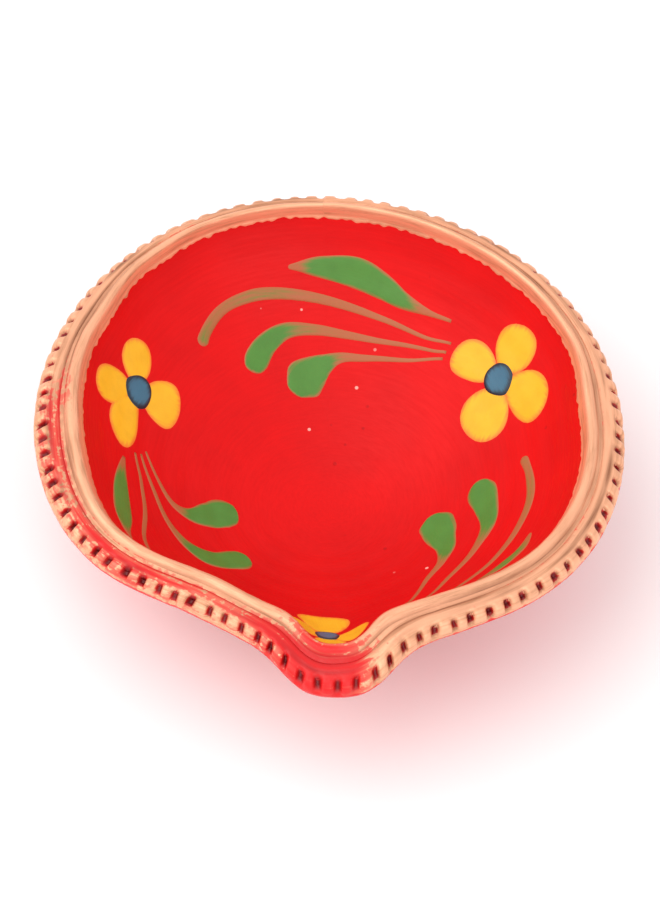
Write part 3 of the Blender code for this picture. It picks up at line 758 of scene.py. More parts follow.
def ragged_mask():
    """A mask with a ragged edge: the load of paint at a place, more or less by noise."""
    tree, given, results = new_group("ragged_mask", {"Load": 1.0, "Raggedness": 0.5, "Size": 700.0}, ["Mask"])
    centred = maths(tree, "SUBTRACT", noise(tree, object_place(tree), given["Size"], 4.0), 0.5)
    stray = maths(tree, "MULTIPLY", centred, given["Raggedness"])
    worn = maths(tree, "MULTIPLY_ADD", stray, 3.0, given["Load"])
    feed(tree, results["Mask"], ramp(tree, worn, 0.42, 0.58))
    return tree


# -------------------------------------------------------------------------------------------- materials


# Specular level, then roughness on the bare and on the full brush hairs
RED_GLOSS = (0.16, 0.40, 0.52)
GOLD_GLOSS = (0.45, 0.30, 0.50)
DAB_GLOSS = (0.35, 0.36, 0.50)
DOT_SPECULAR = 0.5
CLAY_ROUGHNESS = 0.88
GOLD_METALLIC = 0.42
# Scales of the brush hairs across and along the stroke
GOLD_HAIRS = {"Hairs": 1500.0, "Length": 120.0}
GOLD_LOCKS = {"Hairs": 700.0, "Length": 45.0}
DAB_HAIRS = {"Hairs": 1600.0, "Length": 160.0}
# How far the red deepens with the clay's mottling, with the brush hairs and in pits, as shares of the
# way to its deep colour
RED_DEEPENS = {"mottling": 0.16, "hairs": 0.10, "pits": 0.45}
# How much the gold's dull colour, its grime and painted shade, and the thin wash of gold under it can cover
GOLD_COVERS = {"dull": 0.70, "grime and shade on red": 0.85, "wash": 0.80}
MOTTLED_DAB = 0.30             # how far a dab can darken with the clay's mottling
# Load of paint up to which thin's colour shows, and from which the full colour does
DAB_RIM = (0.20, 0.75)
DOT_RIM = (0.45, 0.95)


def new_material(name, specular):
    """A material, its node tree and its shader with its one specular level."""
    material = bpy.data.materials.new(name)
    material.use_nodes = True
    shader = material.node_tree.nodes["Principled BSDF"]
    shader.inputs["Specular IOR Level"].default_value = specular
    return material, material.node_tree, shader


def streaked_load(tree, brushed, share):
    """The mesh's load of paint, changed by up to half of share under the brush hairs."""
    hairs = maths(tree, "SUBTRACT", brushed["Streaks"], 0.5)
    return maths(tree, "MULTIPLY_ADD", hairs, share, field(tree, "load"))


def in_notches(tree, above, paint):
    """A colour that turns to the darkest red towards the bottom of the notches: painted shade in the
    recesses.
    """
    depth = ramp(tree, field(tree, "pit"), 0.25, 0.95)
    return mix(tree, depth, above, darker(paint.deep_red, 0.55))


def finish_material(tree, shader, base, roughness, brushed, hairs, grain, depth):
    """Link the colour, the roughness and the bump: hairs times the brush's height over the grain's."""
    feed(tree, shader.inputs["Base Color"], base)
    feed(tree, shader.inputs["Roughness"], roughness)
    height = maths(tree, "MULTIPLY_ADD", brushed["Height"], hairs, grain["Height"])
    bump = add_node(tree, "Bump", {"Strength": 1.0, "Distance": depth, "Height": height})
    feed(tree, shader.inputs["Normal"], bump.outputs["Normal"])
    lay_out(tree)


def red_clay_material(paint):
    """Satin red over clay: mottled, lightly brushed, with pits and a few pale specks, bare at the foot."""
    specular, *roughness = RED_GLOSS
    material, tree, shader = new_material("red_painted_clay", specular)
    grain = use_group(tree, clay_grain)
    brushed = use_group(tree, brushwork, Stroke=field(tree, "stroke", "Vector"))
    painted = use_group(tree, ragged_mask, Load=field(tree, "load"), Raggedness=0.40, Size=420.0)["Mask"]
    deep = maths(tree, "MULTIPLY", grain["Mottling"], RED_DEEPENS["mottling"])
    deep = maths(tree, "MULTIPLY_ADD", brushed["Streaks"], RED_DEEPENS["hairs"], deep)
    red = mix(tree, deep, paint.red, paint.deep_red)
    red = mix(tree, scaled(tree, grain["Pits"], 0.0, RED_DEEPENS["pits"]), red, paint.deep_red)
    # Painted shade: the red darkens towards the bottom of the notches
    red = in_notches(tree, red, paint)
    red = mix(tree, grain["Specks"], red, paint.speck)
    dust = mix(tree, grain["Mottling"], paint.clay, darker(paint.clay, 0.72))
    satin = scaled(tree, brushed["Streaks"], *roughness)
    matt = mix(tree, painted, [CLAY_ROUGHNESS] * 3, satin)
    finish_material(tree, shader, mix(tree, painted, dust, red), matt, brushed, 0.6, grain, 0.035 * MM)
    return material


def gold_material(paint):
    """Coppery metallic paint, brushed along the rim, dull where it is thin, with the red left showing."""
    specular, *roughness = GOLD_GLOSS
    material, tree, shader = new_material("gold_paint", specular)
    stroke_place = field(tree, "stroke", "Vector")
    brushed = use_group(tree, brushwork, Stroke=stroke_place, **GOLD_HAIRS)
    locks = use_group(tree, brushwork, Stroke=stroke_place, **GOLD_LOCKS)
    grain = use_group(tree, clay_grain, Grain=1500.0, Mottle=160.0)
    load = streaked_load(tree, locks, 0.42)
    covered = use_group(tree, ragged_mask, Load=load, Raggedness=0.45, Size=900.0)["Mask"]
    dull = maths(tree, "MULTIPLY", brushed["Streaks"], locks["Streaks"])
    gold = mix(tree, scaled(tree, dull, 0.0, GOLD_COVERS["dull"]), paint.gold, paint.dull_gold)
    # Brown dirt along the lip, and painted shade in the groove and the notches, darken the gold and the red
    # under it
    grime_and_shade = maths(tree, "MULTIPLY", field(tree, "grime_and_shade"), scaled(tree, locks["Streaks"], 0.45, 1.0))
    gold = mix(tree, grime_and_shade, gold, paint.grime_and_shade)
    wash = scaled(tree, ramp(tree, load, 0.10, 0.95), 0.0, GOLD_COVERS["wash"])
    under = mix(tree, wash, paint.red, paint.gold)
    under = mix(tree, scaled(tree, grime_and_shade, 0.0, GOLD_COVERS["grime and shade on red"]), under, paint.deep_red)
    # Painted shade: the red under the gold darkens towards the bottom of the notches
    under = in_notches(tree, under, paint)
    feed(tree, shader.inputs["Metallic"], scaled(tree, covered, 0.0, GOLD_METALLIC))
    finish_material(tree, shader, mix(tree, covered, under, gold),
                    scaled(tree, brushed["Streaks"], *roughness), brushed, 1.2, grain, 0.045 * MM)
    return material


def dab_material(name, full, thin, specular=DAB_GLOSS[0], rim=DAB_RIM):
    """Brushed dab of paint: its full colour where it lies thick, thin's colour where the ground shows."""
    material, tree, shader = new_material(name, specular)
    brushed = use_group(tree, brushwork, Stroke=field(tree, "stroke", "Vector"), **DAB_HAIRS)
    grain = use_group(tree, clay_grain, Mottle=320.0)
    body = ramp(tree, streaked_load(tree, brushed, 0.22), *rim)
    mottled = mix(tree, scaled(tree, grain["Mottling"], 0.0, MOTTLED_DAB), full, darker(full, 0.72))
    finish_material(tree, shader, mix(tree, body, thin, mottled),
                    scaled(tree, brushed["Streaks"], *DAB_GLOSS[1:]), brushed, 0.8, grain, 0.03 * MM)
    return material


# ------------------------------------------------------------------------------------------------ pieces


COARSE = 384                   # columns of the walls
FINE = 3 * COARSE              # columns of the notched flange
INNER_RINGS = 65
INNERMOST = 0.012              # share of the wall's length where the innermost ring lies
OUTER_RINGS = 41
FOOT_RINGS = 25


FOOT_ROUND = 0.6 * MM          # the foot's bottom corner
RED_ENDS = 6.5 * MM            # height where the red paint ends on the outer wall
RED_FADE = 5.0 * MM            # height over which it thins out
GOLD_REACH = 0.55 * MM         # how far the gold usually reaches below the ridge on the inner wall
BURIED = 3.0                   # depth of the gold's hidden side in the clay, in coats
GOLD_ENDS = (0.70, 0.735)      # share of the flange's section where the gold starts to end and has ended
SOLID_LIFT = 0.5 * MM          # middle of a painted solid's thickness, off the clay


def even(count):
    """Shares of a turn in even steps."""
    return np.arange(count) / count


def strokes_round(lamp, share, across):
    """Brush direction for paint laid round the rim: metres along it, and metres across it."""
    return np.stack([share * lamp.outer.length, across, np.zeros_like(share)], axis=-1)


def clay_body(lamp, paint):
    """Floor, walls, flange, notches and foot in one closed surface."""
    rings, loads, strokes, pits = [], [], [], []
    coarse, fine = even(COARSE), even(FINE)

    def add(ring, share, across, load, pit=0.0):
        rings.append(ring)
        strokes.append(strokes_round(lamp, share, np.full(len(share), across)))
        loads.append(np.full(len(share), load))
        pits.append(np.zeros(len(share)) + pit)

    for along in lamp.wall_length * np.linspace(INNERMOST, 1.0, INNER_RINGS + 1)[:-1]:
        add(lamp.inner(coarse, along), coarse, along, 1.0)
    span = lamp.section_length()
    for walk in flange_walks():
        pit = lamp.notch_share(fine, np.full(FINE, walk))
        add(lamp.flange(fine, np.full(FINE, walk)), fine, lamp.wall_length + walk * span, 1.0, pit)
    wall_foot_radius = lamp.clay.foot_radius + lamp.clay.foot_flare
    wall_foot = lamp.centre - math.sqrt(lamp.outer_curve ** 2 - wall_foot_radius ** 2)
    for height in np.linspace(lamp.wall_top, wall_foot, OUTER_RINGS + 1)[1:]:
        load = 0.5 + (height - RED_ENDS) / RED_FADE
        add(lamp.outside(coarse, np.full(COARSE, height)), coarse, height, np.clip(load, 0.0, 1.0))
    clay = lamp.clay
    foot = [
        (wall_foot_radius, wall_foot),
        (clay.foot_radius + 0.35 * clay.foot_flare, 0.5 * (wall_foot + clay.foot_height)),
        (clay.foot_radius, clay.foot_height),
        (clay.foot_radius - 0.05 * MM, 0.45 * clay.foot_height),
        (clay.foot_radius + 0.05 * MM, 0.8 * MM),
        (clay.foot_radius - 0.15 * MM, 0.25 * MM),
        (clay.foot_radius - FOOT_ROUND, 0.0),
    ]
    for radius, height in even_along(through(foot, 80), FOOT_RINGS + 1)[1:]:
        wander = 1.0 + 0.004 * wandering("foot", coarse)
        plan = heading(coarse) * (radius * wander)[:, None]
        add(np.column_stack([plan, np.full(COARSE, height)]), coarse, height, 0.0)
    for share in (0.97, 0.9, 0.7, 0.4, 0.1):
        radius = share * (clay.foot_radius - FOOT_ROUND)
        add(np.column_stack([heading(coarse) * radius, np.zeros(COARSE)]), coarse, radius, 0.0)
    piece = closed_rings("clay_body", rings, fields={"load": loads, "stroke": strokes, "pit": pits})
    settle(piece, red_clay_material(paint), "red_painted_clay", "clay_bowl")


def flange_walks():
    """Places along the flange's section: close together over the ridge, the groove and the notches."""
    return np.concatenate([np.linspace(0.0, 0.78, 47), np.linspace(0.78, 1.0, 9)[1:]])


# Places round the rim as turn from the spout in degrees: the thin gold on the left lip, as a plateau, and
# the thin gold on the spout and a worn place on the ridge, each as a bell's middle and spread
THIN_LEFT = (-112.0, -88.0, 2.0, 12.0)
THIN_SPOUT = (-4.0, 9.0)
WORN_RIDGE = (-98.0, 7.0)


def gold_load(lamp, share, walk):
    """How thickly the gold lies: full on the ridge, brushed thin on the left lip and on the spout.

    The lip and the ridge each start from their full load and lose some where the brush ran dry. The
    seam between them, the underside and the notches lose more, and the load wanders round the rim.
    """
    turn = turn_from_spout(share)
    inwards, height, _, _ = lamp.section_at(np.clip(walk, 0.0, 1.0))
    on_ridge = smooth_step(inwards, lamp.groove, lamp.groove + 0.9 * MM)
    thin_left = plateau(turn, *THIN_LEFT)
    spout = bell(turn, *THIN_SPOUT)
    channel = bell(inwards, lamp.groove - 1.4 * MM, 1.3 * MM)
    lip = 0.92 - thin_left * (0.30 + 0.30 * channel) - 0.35 * spout
    ridge = 1.05 - 0.75 * spout - 0.30 * bell(turn, *WORN_RIDGE)
    below = smooth_step(lamp.edge_bottom + 0.6 * MM - height, 0.0, 1.2 * MM)
    seam = 0.45 * bell(inwards, lamp.groove, 0.35 * MM)
    in_notch = 1.1 * smooth_step(lamp.notch_share(share, walk), 0.35, 0.8)
    load = ridge * on_ridge + lip * (1.0 - on_ridge) - seam
    return load - 0.9 * below - in_notch + 0.10 * wandering("gold load", share)


def rim_grime(lamp, share, walk):
    """How dark the rim is painted: a bell-shaped line of painted shade in the groove and a line of dirt along
    the lip, both coming and going round it, and painted shade in the notches.
    """
    inwards = lamp.section_at(np.clip(walk, 0.0, 1.0))[0]
    # Painted shade: a dark line along the groove
    in_groove = bell(inwards, lamp.groove, 0.55 * MM)
    in_groove = in_groove * (0.90 + 0.60 * wandering("groove shade", share))
    # Brown dirt: a line along the lip
    on_lip = bell(inwards, lamp.groove - 2.1 * MM, 0.35 * MM)
    on_lip = on_lip * (0.45 + 0.90 * wandering("lip grime", share))
    # Painted shade: dark towards the bottom of the notches
    in_notch = 0.8 * smooth_step(lamp.notch_share(share, walk), 0.15, 0.6)
    return np.clip(in_groove + np.clip(on_lip, 0.0, 1.0) + in_notch, 0.0, 1.0)


def gold_skin(lamp, paint):
    """Coat of gold over the flange: it stands off the clay where it was laid and dives under it elsewhere."""
    fine = even(FINE)
    wander = 0.55 * MM * wandering("gold edge", fine)
    wander += 0.35 * MM * bell(turn_from_spout(fine), 40.0, 18.0)
    wander += 0.30 * MM * wandering("gold edge, fine", fine)
    top, under = [], []
    fields = {"load": [], "stroke": [], "pit": [], "grime_and_shade": []}

    def add(surface, place, lift, across, load, pit, grime_and_shade):
        top.append(surface(fine, place, lift))
        under.append(surface(fine, place, -BURIED * paint.coat))
        values = (load, strokes_round(lamp, fine, np.full(FINE, across)), pit, grime_and_shade)
        for kept_values, value in zip(fields.values(), values):
            kept_values.append(value)

    for below in np.linspace(1.6, 0.2, 7) * MM:
        laid = smooth_step(wander + GOLD_REACH - below, -0.25 * MM, 0.25 * MM)
        along = lamp.wall_length - below
        add(lamp.inner, along, paint.coat * (2.0 * laid - 1.0), along, np.ones(FINE), np.zeros(FINE),
            np.zeros(FINE))
    walks = flange_walks()
    for share in walks[walks < GOLD_ENDS[1] + 0.005]:
        walk = np.full(FINE, share)
        laid = 1.0 - smooth_step(walk, *GOLD_ENDS)
        across = lamp.wall_length + share * lamp.section_length()
        add(lamp.flange, walk, paint.coat * (2.0 * laid - 1.0), across, gold_load(lamp, fine, walk),
            lamp.notch_share(fine, walk), rim_grime(lamp, fine, walk))
    kept = range(len(under) - 1, -1, -6)
    rings = top + [under[k] for k in kept]
    fields = {name: values + [values[k] for k in kept] for name, values in fields.items()}
    piece = closed_rings("gold_rim", rings, looped=True, fields=fields)
    settle(piece, gold_material(paint), "gold_paint", "gold_rim_band")


def flower_place(lamp, name):
    """Azimuth in degrees of a flower's centre and its distance up the wall, from its solid's box.

    The wall isn't quite round, so the place is found in a few steps towards the box's middle.
    """
    low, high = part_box(name + "_flower_centre")
    goal = (np.array(low) + np.array(high)) / 2.0
    goal_azimuth = math.degrees(math.atan2(goal[1], goal[0]))
    azimuth = goal_azimuth
    along = lamp.wall_length * np.linspace(0.3, 1.0, 700)
    for _ in range(4):
        wall = lamp.inner(share_of(azimuth), along, SOLID_LIFT)
        nearest = np.argmin(np.abs(wall[:, 2] - goal[2]))
        azimuth += goal_azimuth - math.degrees(math.atan2(wall[nearest, 1], wall[nearest, 0]))
    return azimuth % 360.0, float(along[nearest])


def on_wall(lamp, azimuth, along, sideways, upwards, lift):
    """Points near a place on the inner wall: sideways and upwards along the wall, lift off it."""
    along = along + upwards
    radius = lamp.curve * np.sin(along / lamp.curve)
    share = share_of(azimuth + np.degrees(sideways / radius))
    return lamp.inner(share, along, lift)


# Rings of a dab as shares of the way out: over it from its middle, then back underneath
DAB_TOP = (0.04, 0.2, 0.36, 0.5, 0.63, 0.74, 0.83, 0.9, 0.96, 1.0)
DAB_UNDER = (1.0, 0.5, 0.04)
SETTLE_IN = 1.3                # a paint edge is this far below its middle, in thicknesses
PETAL_EGG = 0.18               # a petal is wider by this towards its outer end
DOT_EGG = 0.05


def dab(lamp, name, azimuth, along, centre, half_length, half_width, turn, egg, thickness, columns=64,
        steep=4):
    """Rings of a rounded dab of paint on the wall, with their loads of paint and brush directions.

    Its outline is an ellipse, wider towards its outer end by egg. Its height falls from thickness in
    the middle, with a steep power of the share of the way out, until its edge is in the clay.
    """
    angle = 2.0 * math.pi * even(columns)
    wobble = 1.0 + 0.05 * waves(even(columns), sum(map(ord, name)), (2, 3, 4, 5))
    long_way = half_length * np.cos(angle) * wobble
    wide_way = half_width * np.sin(angle) * (1.0 + egg * np.cos(angle)) * wobble
    c, s = math.cos(turn), math.sin(turn)
    rings, loads, strokes = [], [], []
    for out, top in [(k, True) for k in DAB_TOP] + [(k, False) for k in DAB_UNDER]:
        sideways = centre[0] + out * (long_way * c - wide_way * s)
        upwards = centre[1] + out * (long_way * s + wide_way * c)
        lift = thickness * (1.0 - SETTLE_IN * out ** steep) if top else -thickness
        rings.append(on_wall(lamp, azimuth, along, sideways, upwards, lift))
        loads.append(np.full(columns, 1.0 - out ** 4 if top else 0.0))
        strokes.append(np.stack([out * long_way, out * wide_way, np.zeros(columns)], axis=-1))
    return rings, loads, strokes


# Petals of each flower: direction in degrees (from sideways, anticlockwise), reach and half width as
# shares of the flowers' usual reach; then the radius of the flower's centre in millimetres
PETALS = {
    "right": ([(77, 1.05, 0.43), (156, 1.29, 0.41), (241, 1.09, 0.52), (351, 1.05, 0.38)], 3.2),
    "left": ([(142, 0.91, 0.34), (57, 1.13, 0.33), (8, 1.25, 0.35), (250, 0.89, 0.45)], 3.2),
    "front": ([(262, 0.90, 0.50), (174, 0.86, 0.34), (12, 0.84, 0.32), (86, 0.73, 0.30)], 2.4),
}
PETAL_START = 1.0 * MM         # inner end of a petal from the flower's middle


def flower(lamp, paint, name, yellow, blue):
    """Four petals, each one dab pulled outwards, and the blue dot laid over their inner ends."""
    azimuth, along = flower_place(lamp, name)
    petals, centre_radius = PETALS[name]
    parts = []
    for number, (direction, reach, half_width) in enumerate(petals):
        turn = math.radians(direction)
        half_length = (reach * paint.reach - PETAL_START) / 2.0
        middle = PETAL_START + half_length
        centre = (middle * math.cos(turn), middle * math.sin(turn))
        title = name + "_petal_" + str(number + 1)
        rings, loads, strokes = dab(lamp, title, azimuth, along, centre, half_length,
                                    half_width * paint.reach, turn, PETAL_EGG, paint.dab)
        parts.append(closed_rings(title, rings, fields={"load": loads, "stroke": strokes}))
    petals = join(name + "_petals", parts)
    settle(petals, yellow, "yellow_paint", name + "_flower_petals")

    rings, loads, strokes = dab(lamp, name + "_dot", azimuth, along, (0.0, 0.0), 1.04 * centre_radius * MM,
                                centre_radius * MM, math.radians(10.0), DOT_EGG, 2.2 * paint.dab,
                                columns=48, steep=10)
    dot = closed_rings(name + "_dot", rings, fields={"load": loads, "stroke": strokes})
    settle(dot, blue, "blue_paint", name + "_flower_centre")


def join(name, parts):
    """Several objects as one, whose closed bodies stay apart."""
    with bpy.context.temp_override(active_object=parts[0], selected_editable_objects=parts,
                                   object=parts[0], selected_objects=parts):
        bpy.ops.object.join()
    parts[0].name = name
    parts[0].data.name = name
    return parts[0]


# Each stroke: azimuth past the petals in degrees, share of the wall from the bowl's middle to the ridge,
# and width in millimetres
SPRAYS = {
    "back": ("right", {
        "leaf": [(5, 0.766, 0.7), (12, 0.757, 1.3), (20, 0.763, 3.4), (27, 0.791, 5.5),
                 (34, 0.817, 6.0), (42, 0.826, 4.4), (48, 0.830, 2.6), (52, 0.832, 0.7)],
        "arc": [(2, 0.704, 0.6), (11, 0.680, 0.8), (24, 0.689, 1.2), (35, 0.708, 1.6), (57, 0.760, 2.1),
                (66, 0.767, 2.2), (73, 0.757, 2.2), (79, 0.728, 2.4), (83, 0.698, 2.6)],
        "bud": [(2, 0.672, 0.6), (8, 0.649, 0.7), (23, 0.621, 1.0), (35, 0.621, 1.5), (46, 0.635, 2.3),
                (55, 0.642, 3.2), (62, 0.620, 4.4), (67, 0.587, 5.0), (71, 0.548, 5.0)],
        "drop": [(2, 0.648, 0.6), (13, 0.590, 0.8), (27, 0.558, 1.3), (37, 0.548, 2.2),
                 (43, 0.526, 4.4), (48, 0.500, 7.3), (52, 0.478, 7.8), (58, 0.444, 7.0)],
    }),
    "left": ("left", {
        "leaf": [(6, 0.768, 0.8), (15, 0.796, 4.0), (24, 0.826, 5.4), (32, 0.872, 3.4),
                 (38, 0.914, 0.8)],
        "arc": [(2, 0.716, 0.6), (12, 0.694, 1.0), (25, 0.718, 1.2), (41, 0.846, 0.9)],
        "bud": [(1, 0.690, 0.6), (13, 0.640, 1.0), (25, 0.612, 1.5), (36, 0.576, 3.2), (43, 0.526, 5.6),
                (46, 0.452, 6.0), (49, 0.383, 5.2)],
        "drop": [(-1, 0.671, 0.6), (8, 0.613, 0.9), (16, 0.562, 1.5), (19, 0.498, 3.8),
                 (18, 0.427, 6.6), (16, 0.375, 7.4), (16, 0.318, 6.0)],
    }),
    "right": ("front", {
        "leaf": [(16, 0.851, 0.6), (27, 0.812, 1.8), (35, 0.817, 3.2), (41, 0.829, 2.8),
                 (47, 0.817, 0.8)],
        "arc": [(10, 0.838, 0.6), (24, 0.740, 1.1), (38, 0.726, 1.4), (51, 0.734, 1.8),
                (61, 0.742, 2.1), (70, 0.726, 2.1), (77, 0.704, 2.1)],
        "bud": [(8, 0.762, 0.6), (25, 0.625, 1.1), (42, 0.597, 1.8), (54, 0.592, 3.6), (63, 0.562, 5.8),
                (70, 0.536, 6.4), (76, 0.522, 5.8)],
        "drop": [(6, 0.716, 0.6), (21, 0.554, 1.1), (34, 0.507, 2.0), (42, 0.474, 4.6),
                 (48, 0.429, 7.0), (54, 0.395, 7.4), (62, 0.355, 6.6)],
    }),
}


def stroke(lamp, paint, name, petals_end, points, stations=72, lanes=12):
    """One brush stroke: a lens-shaped section carried along a smooth route on the wall.

    Its width follows the points and rounds off like a circle at the end. Its height over the wall is
    highest in the middle, and its edges are just in the clay.
    """
    route = through(points, stations, 1.7)
    azimuth = petals_end + route[:, 0]
    along = route[:, 1] * lamp.wall_length
    radius = lamp.curve * np.sin(along / lamp.curve)
    run = np.column_stack([np.gradient(np.radians(azimuth)) * radius, np.gradient(along)])
    step = np.linalg.norm(run, axis=1)
    run = run / step[:, None]
    walked = np.concatenate([[0.0], np.cumsum(step)[:-1]])
    left = walked[-1] - walked
    wobble = waves(np.linspace(0.0, 0.5, stations), sum(map(ord, name)), (3, 5, 8))
    width = route[:, 2] * MM * (1.0 + 0.10 * wobble)
    rounding = np.clip(1.0 - left / (0.5 * width[-1]), 0.0, 1.0)
    half = 0.5 * np.maximum(width * np.sqrt(1.0 - rounding ** 2), 0.12 * MM)
    lane = np.linspace(-1.0, 1.0, lanes + 1)
    around = np.concatenate([lane, lane[::-1]])
    on_top = np.concatenate([np.ones(lanes + 1), np.zeros(lanes + 1)])
    thickness = np.clip(half / (1.2 * MM), 0.35, 1.0) * paint.dab
    over = thickness[:, None] * (1.0 - SETTLE_IN * around ** 4)
    lift = np.where(on_top > 0.5, over, -thickness[:, None])
    sideways = -around * (run[:, 1] * half)[:, None]
    upwards = around * (run[:, 0] * half)[:, None]
    here = along[:, None] + upwards
    share = share_of(azimuth[:, None] + np.degrees(sideways / radius[:, None]))
    rings = lamp.inner(share, here, lift)
    body = smooth_step(half, 0.2 * MM, 2.4 * MM)[:, None] * (1.0 - np.abs(around) ** 4)
    paths = np.stack(np.broadcast_arrays(walked[:, None], around * half[:, None], 0.0), axis=-1)
    return closed_rings(name, list(rings), fields={"load": list(body * on_top), "stroke": list(paths)})


# ------------------------------------------------------------------------------------------------- stage


CAMERA_AIM = (2.0 * MM, 9.0 * MM)  # the camera looks this far in front of the axis and below the top
FLOOR_CURL = (0.75, 0.9)       # share of the floor's half width where it starts to curl up, and how much


def look_from(azimuth, elevation, distance, target):
    """Place and turn of something that looks at the target; azimuth zero looks along +Y."""
    out = np.array([math.cos(elevation) * math.sin(azimuth), -math.cos(elevation) * math.cos(azimuth),
                    math.sin(elevation)])
    return np.array(target) + distance * out, (math.pi / 2.0 - elevation, 0.0, azimuth)


def add_light(name, azimuth, elevation, distance, size, power, tint, target):
    """A round soft light aimed at the target; azimuth and elevation are in degrees."""
    light = bpy.data.lights.new(name, "AREA")
    light.shape = "DISK"
    light.size = size
    light.energy = power
    light.color = tint
    holder = bpy.data.objects.new(name, light)
    holder.location, holder.rotation_euler = look_from(math.radians(azimuth), math.radians(elevation),
                                                       distance, target)
    bpy.context.scene.collection.objects.link(holder)


def add_camera(settings, width):
    """Long lens on the middle of the lamp."""
    data = bpy.data.cameras.new("camera")
    data.sensor_fit = "HORIZONTAL"
    data.sensor_width = 36.0
    data.lens = settings.fill * data.sensor_width * settings.distance / width
    data.clip_start = 0.05
    data.clip_end = 20.0
    camera = bpy.data.objects.new("camera", data)
    target = (0.0, -CAMERA_AIM[0], BOWL_HIGH[2] - CAMERA_AIM[1])
    camera.location, camera.rotation_euler = look_from(settings.turn, settings.elevation,
                                                       settings.distance, target)
    bpy.context.scene.collection.objects.link(camera)
    bpy.context.scene.camera = camera


def add_floor(size):
    """Plain pale floor: a flat sheet that curls up gently at its far edges."""
    count = 49
    span = np.linspace(-0.5, 0.5, count) * size
    x, y = np.meshgrid(span, span, indexing="ij")
    reach = np.hypot(x, y)
    start, rise = FLOOR_CURL
    z = rise * np.maximum(reach / (0.5 * size) - start, 0.0) ** 2 - 0.1 * MM
    points = np.stack([x, y, z], axis=-1).reshape(-1, 3)
    corner = (np.arange(count - 1)[:, None] * count + np.arange(count - 1)).ravel()
    faces = np.column_stack([corner, corner + count, corner + count + 1, corner + 1])
    mesh = bpy.data.meshes.new("floor")
    mesh.from_pydata(points, [], faces.tolist())
    mesh.shade_smooth()
    material, tree, shader = new_material("floor_white", 0.2)
    soft = noise(tree, object_place(tree), 6.0, 3.0)
    feed(tree, shader.inputs["Base Color"], mix(tree, soft, [0.97] * 3, [0.99] * 3))
    shader.inputs["Roughness"].default_value = 0.8
    lay_out(tree)
    mesh.materials.append(material)
    floor = bpy.data.objects.new("floor", mesh)
    bpy.context.scene.collection.objects.link(floor)
    floor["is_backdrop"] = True


def add_world(strength):
    """Even white surroundings."""
    world = bpy.data.worlds.new("surroundings")
    world.use_nodes = True
    background = world.node_tree.nodes["Background"]
    background.inputs["Color"].default_value = (1.0, 1.0, 1.0, 1.0)
    background.inputs["Strength"].default_value = strength
    bpy.context.scene.world = world


# -------------------------------------------------------------------------------------------- operators


class CLAYLAMP_OT_clay(bpy.types.Operator):
    """Make the clay body with its notched flange"""

    bl_idname = "claylamp.clay"
    bl_label = "Clay Body"

    def execute(self, context):
        clay_body(Lamp(context.scene.claylamp_clay), context.scene.claylamp_paint)
        return {"FINISHED"}


class CLAYLAMP_OT_gold(bpy.types.Operator):
    """Make the coat of gold on the flange"""

    bl_idname = "claylamp.gold"
    bl_label = "Gold Rim"

    def execute(self, context):
        gold_skin(Lamp(context.scene.claylamp_clay), context.scene.claylamp_paint)
        return {"FINISHED"}


class CLAYLAMP_OT_flowers(bpy.types.Operator):
    """Paint the three flowers on the inner wall"""

    bl_idname = "claylamp.flowers"
    bl_label = "Flowers"

    def execute(self, context):
        lamp, paint = Lamp(context.scene.claylamp_clay), context.scene.claylamp_paint
        yellow = dab_material("yellow_paint", paint.yellow, paint.orange)
        blue = dab_material("blue_paint", paint.blue, paint.ink, DOT_SPECULAR, DOT_RIM)
        for name in FLOWERS:
            flower(lamp, paint, name, yellow, blue)
        return {"FINISHED"}


class CLAYLAMP_OT_sprays(bpy.types.Operator):
    """Paint the leaf sprays on the inner wall"""

    bl_idname = "claylamp.sprays"
    bl_label = "Leaf Sprays"

    def execute(self, context):
        lamp, paint = Lamp(context.scene.claylamp_clay), context.scene.claylamp_paint
        green = dab_material("green_paint", paint.green, paint.olive)
        for spray, (flower_name, strokes) in SPRAYS.items():
            azimuth, along = flower_place(lamp, flower_name)
            radius = lamp.curve * math.sin(along / lamp.curve)
            petals_end = azimuth + math.degrees((paint.reach + 0.4 * MM) / radius)
            for title, points in strokes.items():
                piece = stroke(lamp, paint, spray + "_" + title, petals_end, points)
                settle(piece, green, "green_paint", spray + "_spray_" + title)
        return {"FINISHED"}


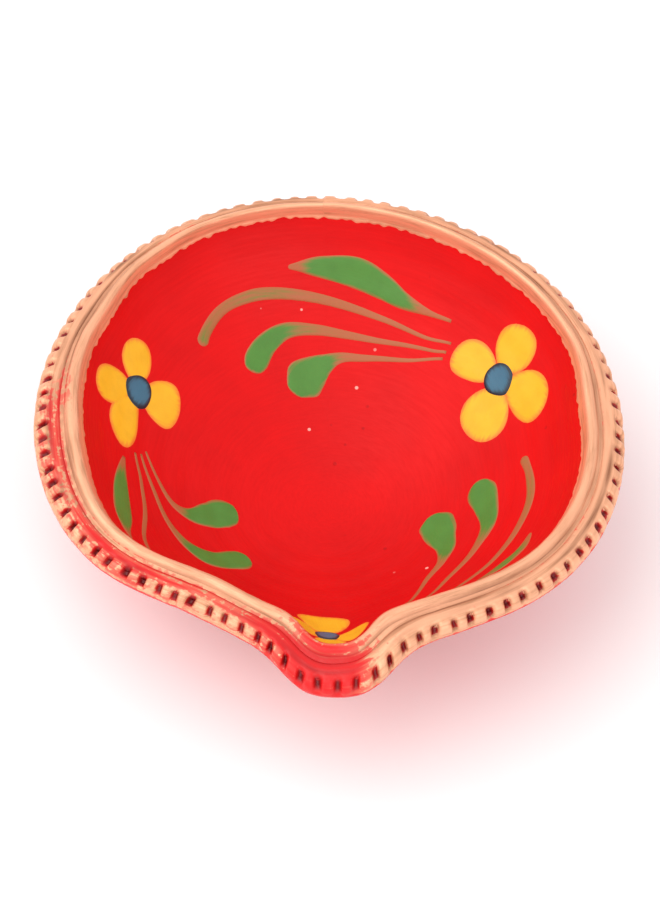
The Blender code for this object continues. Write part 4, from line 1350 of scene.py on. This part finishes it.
class CLAYLAMP_OT_stage(bpy.types.Operator):
    """Set up the camera, the floor and the lights"""

    bl_idname = "claylamp.stage"
    bl_label = "Stage"

    def execute(self, context):
        settings = context.scene.claylamp_stage
        add_camera(settings, CAD_BOX[1][0] - CAD_BOX[0][0])
        add_floor(settings.floor_size)
        add_world(settings.sky)
        middle = (0.0, 0.0, BOWL_HIGH[2])
        add_light("key_light", -80.0, 58.0, 0.9, 1.20, settings.key, (1.0, 0.99, 0.97), middle)
        add_light("fill_light", 20.0, 38.0, 1.2, 0.8, settings.soft, (0.96, 0.98, 1.0), middle)
        context.scene.view_settings.view_transform = "Standard"
        return {"FINISHED"}


class CLAYLAMP_PT_panel(bpy.types.Panel):
    """Lists the pieces of the lamp and their sizes"""

    bl_idname = "CLAYLAMP_PT_panel"
    bl_label = "Clay Lamp"
    bl_space_type = "VIEW_3D"
    bl_region_type = "UI"
    bl_category = "Clay Lamp"

    def draw(self, context):
        for piece in PIECES:
            self.layout.operator(piece.bl_idname)
        for group in ("claylamp_clay", "claylamp_paint", "claylamp_stage"):
            box = self.layout.box()
            settings = getattr(context.scene, group)
            for name in settings.__annotations__:
                box.prop(settings, name)


PIECES = (CLAYLAMP_OT_clay, CLAYLAMP_OT_gold, CLAYLAMP_OT_flowers, CLAYLAMP_OT_sprays, CLAYLAMP_OT_stage)
GROUPS = {
    "claylamp_clay": CLAYLAMP_PG_clay,
    "claylamp_paint": CLAYLAMP_PG_paint,
    "claylamp_stage": CLAYLAMP_PG_stage,
}


def register():
    for group in (*GROUPS.values(), *PIECES, CLAYLAMP_PT_panel):
        bpy.utils.register_class(group)
    for name, group in GROUPS.items():
        setattr(bpy.types.Scene, name, PointerProperty(type=group))


def unregister():
    for name in GROUPS:
        delattr(bpy.types.Scene, name)
    for group in (CLAYLAMP_PT_panel, *reversed(PIECES), *GROUPS.values()):
        bpy.utils.unregister_class(group)


def main():
    register()
    bpy.ops.claylamp.clay()
    bpy.ops.claylamp.gold()
    bpy.ops.claylamp.flowers()
    bpy.ops.claylamp.sprays()
    bpy.ops.claylamp.stage()
    boxes = {"cad": CAD_BOX, "visual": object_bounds()}
    boxes = {name: [[float(x) for x in corner] for corner in box] for name, box in boxes.items()}


if __name__ == "__main__":
    main()
